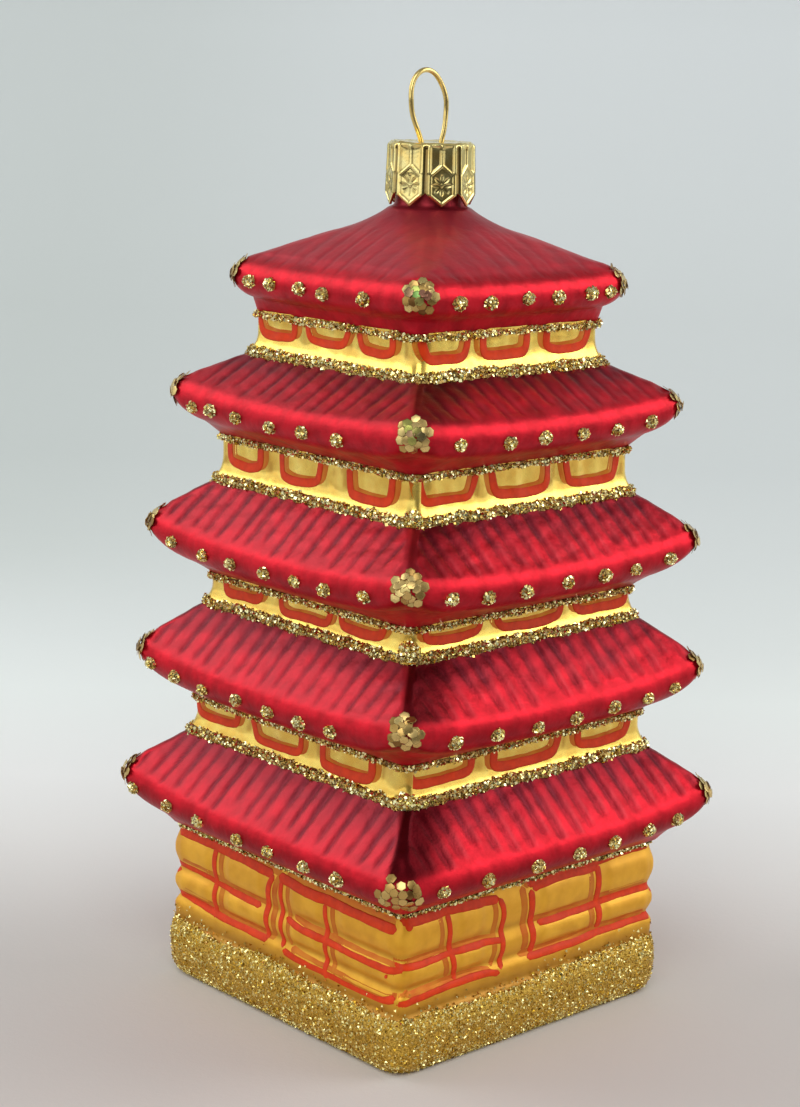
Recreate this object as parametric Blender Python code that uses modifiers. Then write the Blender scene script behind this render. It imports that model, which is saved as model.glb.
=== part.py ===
"""Blown glass tree ornament in the form of a five-storey pagoda, with a pressed cap and a wire hanger.

The glass is one thin hollow body with an open neck. Gold glitter bands wrap the base, the foot of
each storey and the line under each eave, and a cluster of sequins sits on every eave corner. The near
corner (+X, -Y) of the lowest roof sags. The cap and its sprung wire turn together on the neck.

The origin is the centre of the flat base. +Z runs up through the neck, and the four faces look along
+X, -X, +Y and -Y. The sizes below are in millimetres, and MM turns them into metres.
"""
import math
from collections import namedtuple
from itertools import pairwise

import bmesh
import bpy
from mathutils import Matrix, Vector
from mathutils.bvhtree import BVHTree

MM = 0.001

# Glass
GLASS_WALL = 0.7
NECK_RADIUS = 5.35
NECK_TOP = 134.4
NECK_FOOT = 125.7

# One entry for each storey, from the ground up: the half width of its wall, the heights of the wall's
# foot and top, the half width and middle height of the rolled eave above it, the radius of the roll,
# how far the eave's corners sweep up, and the share of that sweep that the near corner (+X, -Y) keeps
Storey = namedtuple("Storey", "wall foot top eave middle roll lift near", defaults=(1.0,))
STOREYS = (
    Storey(wall=27.9, foot=10.0, top=25.8, eave=34.3, middle=31.0, roll=3.3, lift=2.3, near=0.1),
    Storey(wall=25.4, foot=41.2, top=47.2, eave=32.6, middle=52.0, roll=3.3, lift=2.0),
    Storey(wall=23.7, foot=62.3, top=67.2, eave=31.5, middle=72.4, roll=3.3, lift=2.0),
    Storey(wall=22.7, foot=82.1, top=89.3, eave=28.9, middle=94.1, roll=3.2, lift=1.4),
    Storey(wall=18.9, foot=102.2, top=108.7, eave=22.3, middle=113.4, roll=3.1, lift=0.5),
)
FOOT_FLARE = 0.9
HEAD_FLARE = 0.2
WALL_CORNER = 1.6
HIP_CORNER = 2.2
EAVE_CORNER = 3.6
SOFFIT_SWEEP = 1.1
SOFFIT_SHORTEST = 3.0
ROLL_START = math.radians(-70.0)
ROLL_STEPS = 3

# Base and the log courses of the ground storey
BASE_HALF = 28.6
BASE_SOLE = 25.8
BASE_CORNER = 3.4
BASE_STEP_CORNER = 2.8
BASE_SHOULDER = 28.35
BASE_HEIGHTS = (0.0, 0.45, 2.0, 5.6, 8.4)
LOG_GROOVES = (13.3, 18.0)
LOG_DEPTH = 0.6
LOG_ROUNDING = 1.1

# The top roof runs up in a soft cone to the round neck: half width, height, corner radius, roundness
TOP_ROOF = (
    (18.0, 118.1, 3.4, 0.0),
    (13.3, 120.7, 4.2, 0.15),
    (10.0, 122.4, 4.6, 0.5),
    (7.8, 123.9, 3.8, 0.9),
    (6.5, 124.9, 3.2, 1.0),
)

# Glitter bands, measured along the wall from the foot or the top of a storey
GLUE_GAP = 0.12
FOOT_BAND_HEIGHT = 1.8
FOOT_BAND_SKIRT = 0.7
FOOT_BAND_THICKNESS = 0.6
EAVE_BAND_HEIGHT = 1.1
EAVE_BAND_THICKNESS = 0.4
BASE_BAND_THICKNESS = 0.45
BASE_BAND_LOW = 0.4
BASE_BAND_HIGH = 9.6
BASE_BAND_TOP_CORNER = 2.2

# Sequin clusters on the eave corners
PAD_HALF_WIDTH = 2.8
PAD_HALF_HEIGHT = 2.3
PAD_SIDES = 8
PAD_GAP = 0.5
PAD_THICKNESS = 0.4
SEQUIN_RADIUS = 0.85
SEQUIN_THICKNESS = 0.25
SEQUIN_SPREAD = 0.66
SEQUIN_RING = 5
SEQUIN_TILT = math.radians(7.0)
CLUSTER_PITCH = math.radians(12.0)
CLUSTER_RISE = 0.9
NEAR_CLUSTER_DROP = 0.3
NEAR_CORNER = 3

# Cap and hanger
CAP_TOP = 135.0
CAP_SHEET = 0.3
CAP_TABS = 8
CAP_TURN = math.radians(18.2)
TAB_NOTCH = 127.6
TAB_TIP = 125.4
# The cap from its tabs up to its rim: apothem, height, and how far the section is from round to
# eight-sided
CAP_PROFILE = (
    (6.50, TAB_NOTCH, 1.0),
    (6.42, 128.2, 1.0),
    (6.35, 131.3, 0.9),
    (6.25, 134.55, 0.6),
    (5.80, CAP_TOP, 0.5),
)
PUNCH_DEPTH = 4.0
WIRE_RADIUS = 0.4
WIRE_HOLE_RADIUS = 0.78
WIRE_HOLE_OFFSET = 2.05
LOOP_HALF_WIDTH = 3.6
LOOP_WIDEST = 5.8
LOOP_HEIGHT = 10.6
LOOP_LEAN = 1.4
LEG_WAIST = 3.8
LEG_WAIST_HEIGHT = 126.5
LEG_END = 8.8
LEG_END_HEIGHT = 112.6

# The straight part of each side has points at these fractions of its half length
SIDE_POINTS = (0.0, 0.62)
ARC_STEPS = 3
LIFT_POWER = 2.5
LEG_STEPS = 3
WAIST_STEPS = 4
LOOP_SIDE_STEPS = 5
LOOP_CROWN_STEPS = 7

Station = namedtuple("Station", "half height corner lift round near", defaults=(0.0, 0.0, 1.0))


def clear_scene():
    for item in list(bpy.data.objects):
        bpy.data.objects.remove(item, do_unlink=True)


def new_collection(name):
    group = bpy.data.collections.new(name)
    bpy.context.scene.collection.children.link(group)
    return group


def new_material(name, colour, roughness, metallic=0.0):
    material = bpy.data.materials.new(name)
    material.use_nodes = True
    shader = material.node_tree.nodes["Principled BSDF"]
    shader.inputs["Base Color"].default_value = (*colour, 1.0)
    shader.inputs["Roughness"].default_value = roughness
    shader.inputs["Metallic"].default_value = metallic
    return material


def lerp(low, high, share):
    return low + (high - low) * share


def new_object(name, mesh, group, material):
    item = bpy.data.objects.new(name, mesh)
    group.objects.link(item)
    item.data.materials.clear()
    item.data.materials.append(material)
    return item


def mesh_from(builder, name):
    mesh = bpy.data.meshes.new(name)
    builder.to_mesh(mesh)
    builder.free()
    return mesh


def solidify(item, thickness, offset):
    shell = item.modifiers.new("Sheet", "SOLIDIFY")
    shell.thickness = thickness * MM
    shell.offset = offset
    shell.use_even_offset = True


def loft(rings, close_bottom=False, close_top=False):
    """Skin a stack of rings, listed from the lowest up and each running anticlockwise."""
    builder = bmesh.new()
    rows = [[builder.verts.new(point) for point in ring] for ring in rings]
    count = len(rings[0])
    for lower, upper in pairwise(rows):
        for near in range(count):
            far = (near + 1) % count
            builder.faces.new((lower[near], lower[far], upper[far], upper[near]))
    if close_bottom:
        builder.faces.new(list(reversed(rows[0])))
    if close_top:
        builder.faces.new(rows[-1])
    bmesh.ops.triangulate(builder, faces=builder.faces, quad_method="FIXED")
    return builder


def quarter_side(station):
    """Points from the middle of the +X side, round the corner, to just short of the +Y middle."""
    straight = station.half - station.corner
    points = [(station.half, straight * share) for share in SIDE_POINTS]
    for step in range(ARC_STEPS + 1):
        angle = math.pi / 2 * step / ARC_STEPS
        points.append((straight + station.corner * math.cos(angle),
                       straight + station.corner * math.sin(angle)))
    points += [(straight * share, station.half) for share in reversed(SIDE_POINTS[1:])]
    return points


def square_ring(station, offset=0.0):
    """A rounded square section, moved out by offset, with its corners lifted and drawn to a circle."""
    grown = station._replace(half=station.half + offset, corner=station.corner + offset)
    quarter = quarter_side(grown)
    total = 4 * len(quarter)
    ring = []
    for side in range(4):
        turn = Matrix.Rotation(math.pi / 2 * side, 2)
        for index, place in enumerate(quarter):
            x, y = turn @ Vector(place)
            angle = 2 * math.pi * (side * len(quarter) + index) / total
            x = lerp(x, grown.half * math.cos(angle), station.round)
            y = lerp(y, grown.half * math.sin(angle), station.round)
            cornerness = min(abs(x), abs(y)) / max(abs(x), abs(y))
            lift = station.lift * (station.near if x > 0 > y else 1.0)
            height = station.height + lift * cornerness ** LIFT_POWER
            ring.append(Vector((x, y, height)) * MM)
    return ring


def base_stations():
    """The pillow-shaped base, from the flat sole up to the step under the logs."""
    sole, heel, side, bulge, shoulder = BASE_HEIGHTS
    return [
        Station(BASE_SOLE, sole, BASE_STEP_CORNER),
        Station(lerp(BASE_SOLE, BASE_HALF, 0.5), heel, BASE_CORNER),
        Station(lerp(BASE_SOLE, BASE_HALF, 0.9), side, BASE_CORNER),
        Station(BASE_HALF, bulge, BASE_CORNER),
        Station(BASE_SHOULDER, shoulder, BASE_STEP_CORNER),
    ]


def log_wall_stations(storey):
    """The ground storey's wall: log courses that bulge between shallow grooves."""
    stations = []
    for low, high in pairwise((storey.foot, *LOG_GROOVES, storey.top)):
        stations.append(Station(storey.wall - LOG_DEPTH, low, WALL_CORNER))
        stations.append(Station(storey.wall, low + LOG_ROUNDING, WALL_CORNER))
        stations.append(Station(storey.wall, high - LOG_ROUNDING, WALL_CORNER))
    stations.append(Station(storey.wall - HEAD_FLARE, storey.top, WALL_CORNER))
    return stations


def upper_wall_stations(storey):
    """An upper wall: it flares at the foot, is slightly waisted, and spreads into the soffit."""
    return [
        Station(storey.wall + FOOT_FLARE, storey.foot, HIP_CORNER),
        Station(storey.wall, storey.foot + FOOT_BAND_HEIGHT, WALL_CORNER),
        Station(storey.wall + HEAD_FLARE, storey.top, WALL_CORNER),
    ]


def roof_foot(level):
    """Where the slope above a storey ends: at the next wall's foot, or in the cone to the neck."""
    if level + 1 < len(STOREYS):
        above = STOREYS[level + 1]
        return above.wall + FOOT_FLARE, above.foot
    return TOP_ROOF[0][:2]


def slope_angle(level):
    """The angle on the roll where a straight line from the roof's foot touches it."""
    storey = STOREYS[level]
    across, height = roof_foot(level)
    reach = Vector((across - (storey.eave - storey.roll), height - storey.middle))
    return math.atan2(reach.y, reach.x) - math.acos(storey.roll / reach.length)


def eave_stations(level):
    """The rolled eave from its underside to the slope, and the slope's middle."""
    storey = STOREYS[level]
    end = slope_angle(level)
    overhang = storey.eave - storey.wall
    soffit_corner = EAVE_CORNER + SOFFIT_SWEEP * max(0.0, overhang - SOFFIT_SHORTEST)
    stations = []
    for step in range(ROLL_STEPS + 1):
        angle = lerp(ROLL_START, end, step / ROLL_STEPS)
        under = max(0.0, angle / ROLL_START)
        stations.append(Station(
            storey.eave - storey.roll + storey.roll * math.cos(angle),
            storey.middle + storey.roll * math.sin(angle),
            lerp(EAVE_CORNER, soffit_corner, under),
            storey.lift * lerp(1.0, 0.8, under), 0.0, storey.near))
    top = stations[-1]
    across, height = roof_foot(level)
    stations.append(Station(lerp(top.half, across, 0.5), lerp(top.height, height, 0.5),
                            lerp(EAVE_CORNER, HIP_CORNER, 0.5), storey.lift * 0.4, 0.0, storey.near))
    return stations


def glass_stations():
    stations = base_stations() + log_wall_stations(STOREYS[0]) + eave_stations(0)
    for level in range(1, len(STOREYS)):
        stations += upper_wall_stations(STOREYS[level]) + eave_stations(level)
    stations += [Station(half, height, corner, 0.0, roundness)
                 for half, height, corner, roundness in TOP_ROOF]
    neck = Station(NECK_RADIUS, NECK_FOOT, NECK_RADIUS / 2, 0.0, 1.0)
    return stations + [neck, neck._replace(height=NECK_TOP)]


def make_glass(group, material):
    """The blown body: one skin, with its thickness inside and the neck left open."""
    rings = [square_ring(station) for station in glass_stations()]
    glass = new_object("glass_body", mesh_from(loft(rings, close_bottom=True), "glass_body"),
                       group, material)
    solidify(glass, GLASS_WALL, -1.0)
    return glass


def make_band(name, stations, thickness, group, material):
    """A glitter band on the outside of the glass, over the stations given."""
    rings = [square_ring(station, GLUE_GAP) for station in stations]
    band = new_object(name, mesh_from(loft(rings), name), group, material)
    solidify(band, thickness, 1.0)


def slide_between(lower, upper, height):
    """The section at a height between two stations."""
    share = (height - lower.height) / (upper.height - lower.height)
    return Station(*(lerp(low, high, share) for low, high in zip(lower, upper)))


def make_bands(group, material):
    sole, heel, *rest = base_stations()
    low = slide_between(sole, heel, BASE_BAND_LOW)
    high = Station(STOREYS[0].wall, BASE_BAND_HIGH, BASE_BAND_TOP_CORNER)
    make_band("base_glitter_band", [low, heel, *rest, high], BASE_BAND_THICKNESS, group, material)
    for level, storey in enumerate(STOREYS):
        wall = log_wall_stations(storey)[-2:] if level == 0 else upper_wall_stations(storey)[-2:]
        head = slide_between(wall[0], wall[1], storey.top - EAVE_BAND_HEIGHT)
        top = slide_between(wall[0], wall[1], storey.top - EAVE_BAND_THICKNESS)
        make_band(f"eave_glitter_band_{level + 1}", [head, top], EAVE_BAND_THICKNESS, group, material)
        if level == 0:
            continue
        slope, foot, waist = eave_stations(level - 1)[-1], *upper_wall_stations(storey)[:2]
        skirt = slide_between(slope, foot, storey.foot - FOOT_BAND_SKIRT)
        make_band(f"foot_glitter_band_{level + 1}", [skirt, foot, waist], FOOT_BAND_THICKNESS,
                  group, material)


def tangent_frame(normal, turn=0.0):
    """A frame whose Z is the normal given, turned about it."""
    return normal.to_track_quat("Z", "Y").to_matrix().to_4x4() @ Matrix.Rotation(turn, 4, "Z")


def glass_surface(glass):
    """The outer skin of the glass, for placing what is glued to it."""
    mesh = glass.data
    return BVHTree.FromPolygons([vertex.co for vertex in mesh.vertices],
                                [tuple(polygon.vertices) for polygon in mesh.polygons])


def corner_point(surface, centre, outward, across, upward):
    """The glass under a point of the cluster, and a normal that leans towards the cluster's own."""
    side = outward.cross(Vector((0, 0, 1))).normalized()
    rise = side.cross(outward)
    start = centre + (side * across + rise * upward + outward * 10.0) * MM
    place, normal, _, _ = surface.ray_cast(start, -outward)
    return place, (normal + outward).normalized()


def pad_spot(turn, share):
    """A point of the oval pad, by its share of a turn and its share of the way to the rim."""
    angle = 2 * math.pi * turn
    return PAD_HALF_WIDTH * share * math.cos(angle), PAD_HALF_HEIGHT * share * math.sin(angle)


def make_cluster(surface, storey, corner, name, group, scratch, material):
    """One pad of glue with hexagonal sequins in it, on one eave corner, the first between +X and +Y."""
    turn = math.pi / 2 * (corner + 0.5)
    diagonal = Vector((math.cos(turn), math.sin(turn), 0))
    outward = diagonal * math.cos(CLUSTER_PITCH) + Vector((0, 0, math.sin(CLUSTER_PITCH)))
    height = storey.middle + storey.lift + CLUSTER_RISE
    if corner == NEAR_CORNER:
        height = storey.middle + storey.lift * storey.near + CLUSTER_RISE - NEAR_CLUSTER_DROP
    level_point = diagonal * storey.eave * 2 + Vector((0, 0, height))
    centre = surface.ray_cast(level_point * MM, -diagonal)[0]

    builder = bmesh.new()
    rows = []
    for share in (1.0, 0.5):
        row = []
        for step in range(PAD_SIDES):
            across, upward = pad_spot(step / PAD_SIDES, share)
            place, normal = corner_point(surface, centre, outward, across, upward)
            row.append(builder.verts.new(place + normal * PAD_GAP * MM - centre))
        rows.append(row)
    place, normal = corner_point(surface, centre, outward, 0.0, 0.0)
    middle = builder.verts.new(place + normal * PAD_GAP * MM - centre)
    for near in range(PAD_SIDES):
        far = (near + 1) % PAD_SIDES
        builder.faces.new((rows[0][near], rows[0][far], rows[1][far], rows[1][near]))
        builder.faces.new((rows[1][near], rows[1][far], middle))
    bmesh.ops.recalc_face_normals(builder, faces=builder.faces)
    if builder.faces[0].normal.dot(outward) < 0:
        bmesh.ops.reverse_faces(builder, faces=builder.faces)
    pad = new_object(name + "_pad", mesh_from(builder, name + "_pad"), scratch, material)
    solidify(pad, PAD_THICKNESS, 1.0)

    flakes = bpy.data.collections.new(name + "_flakes")
    scratch.children.link(flakes)
    spots = [(0.0, 0.0)]
    spots += [pad_spot((step + corner / 4) / SEQUIN_RING, SEQUIN_SPREAD) for step in range(SEQUIN_RING)]
    for index, (across, upward) in enumerate(spots):
        place, normal = corner_point(surface, centre, outward, across, upward)
        tilt = Matrix.Rotation(SEQUIN_TILT * (-1) ** index, 4, "X")
        frame = tangent_frame(normal, index * 0.7) @ tilt
        spot = place + normal * (PAD_GAP + PAD_THICKNESS) * MM - centre
        flake = bmesh.new()
        bmesh.ops.create_cone(flake, cap_ends=True, segments=6, radius1=SEQUIN_RADIUS * MM,
                              radius2=SEQUIN_RADIUS * MM, depth=SEQUIN_THICKNESS * MM,
                              matrix=Matrix.Translation(spot) @ frame)
        new_object(f"{name}_flake_{index}", mesh_from(flake, name + "_flake"), flakes, material)
    join = pad.modifiers.new("Sequins", "BOOLEAN")
    join.operation = "UNION"
    join.operand_type = "COLLECTION"
    join.collection = flakes
    join.solver = "EXACT"
    bpy.context.view_layer.update()
    whole = bpy.data.meshes.new_from_object(pad.evaluated_get(bpy.context.evaluated_depsgraph_get()))
    for item in [*flakes.objects, pad]:
        bpy.data.objects.remove(item, do_unlink=True)
    bpy.data.collections.remove(flakes)
    cluster = new_object(name, whole, group, material)
    cluster.location = centre


def make_clusters(glass, group, scratch, material):
    surface = glass_surface(glass)
    for level, storey in enumerate(STOREYS):
        for corner in range(4):
            make_cluster(surface, storey, corner, f"corner_sequins_{level + 1}_{corner + 1}",
                         group, scratch, material)


def cap_ring(apothem, height, facet):
    """A level section of the cap, with four points to each of its eight sides."""
    ring = []
    for tab in range(CAP_TABS):
        for quarter in range(4):
            turn = math.pi / CAP_TABS * (quarter / 2 - 1)
            radius = apothem * lerp(1.0, 1 / math.cos(turn), facet)
            angle = CAP_TURN + 2 * math.pi * tab / CAP_TABS + turn
            ring.append(Vector((radius * math.cos(angle), radius * math.sin(angle), height)) * MM)
    return ring


def make_cap(group, scratch, material):
    """The pressed crown cap: a thin sheet cup with eight pointed tabs and two holes for the wire."""
    rings = [cap_ring(apothem, height, facet) for apothem, height, facet in CAP_PROFILE]
    for index, point in enumerate(rings[0]):
        point.z -= (TAB_NOTCH - TAB_TIP) * (1 - abs(index % 4 - 2) / 2) * MM
    cap = new_object("crown_cap", mesh_from(loft(rings, close_top=True), "crown_cap"), group, material)
    solidify(cap, CAP_SHEET, -1.0)
    for side in (-1, 1):
        punch = bmesh.new()
        place = Matrix.Translation(Vector((0, side * WIRE_HOLE_OFFSET, CAP_TOP)) * MM)
        bmesh.ops.create_cone(punch, cap_ends=True, segments=12, radius1=WIRE_HOLE_RADIUS * MM,
                              radius2=WIRE_HOLE_RADIUS * MM, depth=PUNCH_DEPTH * MM, matrix=place)
        cutter = new_object(f"wire_hole_{side}", mesh_from(punch, "wire_hole"), scratch, material)
        cutter.hide_render = True
        cutter.display_type = "WIRE"
        hole = cap.modifiers.new(f"Hole {side}", "BOOLEAN")
        hole.operation = "DIFFERENCE"
        hole.solver = "EXACT"
        hole.object = cutter


def wire_side():
    """Half of the wire, from the end of a leg inside the glass up to the top of the loop."""
    points = []
    for step in range(LEG_STEPS + 1):
        share = step / LEG_STEPS
        points.append((lerp(LEG_END, LEG_WAIST, share), lerp(LEG_END_HEIGHT, LEG_WAIST_HEIGHT, share)))
    for step in range(1, WAIST_STEPS + 1):
        share = step / WAIST_STEPS
        ease = (1 + math.cos(math.pi * share)) / 2
        points.append((lerp(WIRE_HOLE_OFFSET, LEG_WAIST, lerp(1 - share, ease, 0.5)),
                       lerp(LEG_WAIST_HEIGHT, CAP_TOP - CAP_SHEET / 2, share)))
    for step in range(1, LOOP_SIDE_STEPS + 1):
        share = step / LOOP_SIDE_STEPS
        points.append((lerp(WIRE_HOLE_OFFSET, LOOP_HALF_WIDTH, math.sin(math.pi / 2 * share)),
                       CAP_TOP + LOOP_WIDEST * share))
    crown = LOOP_HEIGHT - LOOP_WIDEST
    for step in range(1, LOOP_CROWN_STEPS + 1):
        angle = math.pi / 2 * step / LOOP_CROWN_STEPS
        points.append((LOOP_HALF_WIDTH * math.cos(angle),
                       CAP_TOP + LOOP_WIDEST + crown * math.sin(angle)))
    return points


def make_wire(group, material):
    """The sprung wire: two legs that spread inside the glass and one upright loop above the cap."""
    half = wire_side()
    route = half + [(-across, height) for across, height in reversed(half[:-1])]
    route = [(across - LOOP_LEAN * max(0.0, height - CAP_TOP) / LOOP_HEIGHT, height)
             for across, height in route]
    curve = bpy.data.curves.new("hanger_wire", "CURVE")
    curve.dimensions = "3D"
    curve.bevel_depth = WIRE_RADIUS * MM
    curve.bevel_resolution = 2
    curve.use_fill_caps = True
    spline = curve.splines.new("POLY")
    spline.points.add(len(route) - 1)
    for point, (across, height) in zip(spline.points, route):
        point.co = (0.0, across * MM, height * MM, 1.0)
    new_object("hanger_wire", curve, group, material)


def main():
    clear_scene()
    ornament = new_collection("pagoda_ornament")
    cutters = new_collection("cutters")
    red_glass = new_material("red_lacquered_glass", (0.62, 0.02, 0.04), 0.3)
    glitter = new_material("gold_glitter", (0.72, 0.52, 0.16), 0.45, 0.9)
    sequins = new_material("gold_sequins", (0.75, 0.62, 0.26), 0.25, 0.9)
    brass = new_material("bright_brass", (0.85, 0.63, 0.24), 0.16, 1.0)
    glass = make_glass(ornament, red_glass)
    make_bands(ornament, glitter)
    make_clusters(glass, ornament, cutters, sequins)
    make_cap(ornament, cutters, brass)
    make_wire(ornament, brass)


main()
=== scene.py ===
"""Looks of the blown glass pagoda ornament: lacquered glass, enamel strokes, glitter, sequins, cap.

Sizes are in millimetres and become metres when a mesh is made. The sides of the glass are numbered
0 to 3, for +X, +Y, -X and -Y, and a place on a side is given by its distance along the side, which
grows anticlockwise seen from above, and its height. The near corner, between sides 3 and 0, is the
one towards the camera.
"""
import math
from collections import namedtuple

import bpy
import numpy as np
from mathutils import Matrix, Vector
from mathutils.bvhtree import BVHTree


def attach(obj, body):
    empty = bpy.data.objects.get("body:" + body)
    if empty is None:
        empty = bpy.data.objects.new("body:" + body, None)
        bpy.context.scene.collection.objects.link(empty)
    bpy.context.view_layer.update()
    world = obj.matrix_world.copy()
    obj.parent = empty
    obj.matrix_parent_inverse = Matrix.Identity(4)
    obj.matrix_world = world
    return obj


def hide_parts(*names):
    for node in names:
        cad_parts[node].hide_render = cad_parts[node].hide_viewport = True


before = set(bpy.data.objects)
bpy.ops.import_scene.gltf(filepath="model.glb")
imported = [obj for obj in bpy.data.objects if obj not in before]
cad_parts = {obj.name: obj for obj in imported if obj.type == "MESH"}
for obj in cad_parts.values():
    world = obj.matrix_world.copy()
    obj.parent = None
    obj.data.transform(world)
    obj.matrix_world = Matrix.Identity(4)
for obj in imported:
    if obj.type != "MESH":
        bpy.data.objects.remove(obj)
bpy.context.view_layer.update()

MM = 0.001
TURN = 2 * math.pi
NEAR_CORNER = 3

# Half width of the wall, heights of its foot and top, half width of the eave, height of the middle
# of its roll, the roll's radius, how far the corners rise, and the near corner's share of that
Storey = namedtuple("Storey", "wall foot top eave middle roll lift near")
STOREYS = (
    Storey(27.9, 10.0, 25.8, 34.3, 31.0, 3.3, 2.3, 0.1),
    Storey(25.4, 41.2, 47.2, 32.6, 52.0, 3.3, 2.0, 1.0),
    Storey(23.7, 62.3, 67.2, 31.5, 72.4, 3.3, 2.0, 1.0),
    Storey(22.7, 82.1, 89.3, 28.9, 94.1, 3.2, 1.4, 1.0),
    Storey(18.9, 102.2, 108.7, 22.3, 113.4, 3.1, 0.5, 1.0),
)
TOP_LEVEL = len(STOREYS) - 1
FOOT_FLARE, HEAD_FLARE = 0.9, 0.2
WALL_CORNER, HIP_CORNER, EAVE_CORNER = 1.6, 2.2, 3.6
SOFFIT_SWEEP, SOFFIT_SHORTEST = 1.1, 3.0
ROLL_START = math.radians(-70.0)
LIFT_POWER = 2.5
# A level section of the glass: half width, height, corner radius, corner lift, roundness, near share
Row = namedtuple("Row", "half height corner lift round near", defaults=(0.0, 0.0, 1.0))
# The sections of the pillow base
BASE = (Row(25.8, 0.0, 2.8), Row(27.2, 0.45, 3.4), Row(28.3, 2.0, 3.4), Row(28.6, 5.6, 3.4),
        Row(28.35, 8.4, 2.8))
LOG_GROOVES = (10.0, 13.3, 18.0, 24.6)
LOG_DEPTH = 0.65
# The sections from the top roof to the neck
TOP_ROOF = (Row(18.0, 118.1, 3.4), Row(13.3, 120.7, 4.2, round=0.15), Row(10.0, 122.4, 4.6, round=0.5),
            Row(7.8, 123.9, 3.8, round=0.9), Row(6.5, 124.9, 3.2, round=1.0),
            Row(5.35, 125.9, 2.7, round=1.0), Row(5.35, 130.0, 2.7, round=1.0))
RIB_PITCH, RIB_DEPTH, SLOPE_WAVER = 3.35, 0.20, 0.045

# The first seed of each kind of piece that is drawn at random
RIB_SEED, STROKE_SEED, BAND_SEED, BEAD_SEED, SEQUIN_SEED, BASE_SEED = 100, 500, 900, 1300, 1700, 77


def lerp(low, high, share):
    return low + (high - low) * share


def ease(low, high, value):
    """0 below low, 1 above high, and smooth between them."""
    share = np.clip((value - low) / (high - low), 0, 1)
    return share * share * (3 - 2 * share)


def waver(seed, *places):
    """A smooth seeded unevenness between about -1 and 1, over coordinates in features of size 1."""
    dice = np.random.default_rng(seed)
    total = 0.0
    for _ in range(7):
        pull = dice.normal(size=len(places)) * 3.2
        total = total + np.sin(sum(p * place for p, place in zip(pull, places)) + dice.uniform(0, TURN))
    return total / 3.2


def unit(vectors):
    return vectors / np.maximum(np.linalg.norm(vectors, axis=-1, keepdims=True), 1e-9)


# ---- Finishes


class Tone:
    """A socket of a finish's node tree; arithmetic on it adds Math nodes."""

    def __init__(self, tree, socket):
        self.tree, self.socket = tree, socket

    def _math(self, operation, first, second):
        return self.tree.node("ShaderNodeMath", {"operation": operation}, {0: first, 1: second})

    def __add__(self, other):
        return self._math("ADD", self, other)

    __radd__ = __add__

    def __sub__(self, other):
        return self._math("SUBTRACT", self, other)

    def __rsub__(self, other):
        return self._math("SUBTRACT", other, self)

    def __mul__(self, other):
        return self._math("MULTIPLY", self, other)

    __rmul__ = __mul__


class Tree:
    """A node tree and the arithmetic on its sockets."""

    def __init__(self, node_tree):
        self.nodes, self.links = node_tree.nodes, node_tree.links

    def feed(self, socket, value):
        if isinstance(value, Tone):
            self.links.new(value.socket, socket)
        elif isinstance(value, tuple) and len(value) == 3 and socket.type == "RGBA":
            socket.default_value = (*value, 1.0)
        else:
            socket.default_value = value

    def node(self, kind, settings=None, inputs=None, output=0):
        """A node with its settings, then the values or links of its sockets; gives one output."""
        node = self.nodes.new(kind)
        for name, value in (settings or {}).items():
            if name == "stops":
                ramp = node.color_ramp
                while len(ramp.elements) < len(value):
                    ramp.elements.new(0.5)
                for stop, (place, colour) in zip(ramp.elements, value):
                    stop.position, stop.color = place, (*colour, 1.0)
            else:
                setattr(node, name, value)
        for name, value in (inputs or {}).items():
            self.feed(node.inputs[name], value)
        return Tone(self, node.outputs[output])

    def mix(self, low, high, share, blend="MIX"):
        """A colour between two others, or the first one tinted by the second."""
        return self.node("ShaderNodeMix", {"data_type": "RGBA", "blend_type": blend, "clamp_factor": True},
                         {0: share, 6: low, 7: high}, output=2)

    def span(self, value, low, high, floor=0.0, ceiling=1.0):
        """A value stretched so that low to high becomes floor to ceiling, and held there."""
        return self.node("ShaderNodeMapRange", {"clamp": True}, {
            "Value": value, "From Min": low, "From Max": high, "To Min": floor, "To Max": ceiling})


class Finish(Tree):
    """The node tree of one material, with its Principled shader."""

    def __init__(self, name, **sockets):
        self.material = bpy.data.materials.new(name)
        self.material.use_nodes = True
        super().__init__(self.material.node_tree)
        self.shader = self.nodes["Principled BSDF"]
        self.set(**sockets)

    def painted(self, name):
        """A value that the mesh carries at each point."""
        return self.node("ShaderNodeAttribute", {"attribute_name": name}, output="Fac")

    def mottle(self, size, detail=2.0, roughness=0.5):
        """Noise from 0 to 1 with features of a size in millimetres."""
        place = self.node("ShaderNodeTexCoord", output="Object")
        return self.node("ShaderNodeTexNoise", None, {
            "Vector": place, "Scale": 1 / (size * MM), "Detail": detail, "Roughness": roughness})

    def relief(self, height, depth):
        """A normal from a height between 0 and 1, with its full depth in millimetres."""
        return self.node("ShaderNodeBump", None, {
            "Height": height, "Strength": 1.0, "Distance": depth * MM})

    def set(self, **sockets):
        for socket, value in sockets.items():
            self.feed(self.shader.inputs[socket.replace("_", " ")], value)
        return self.material


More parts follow.
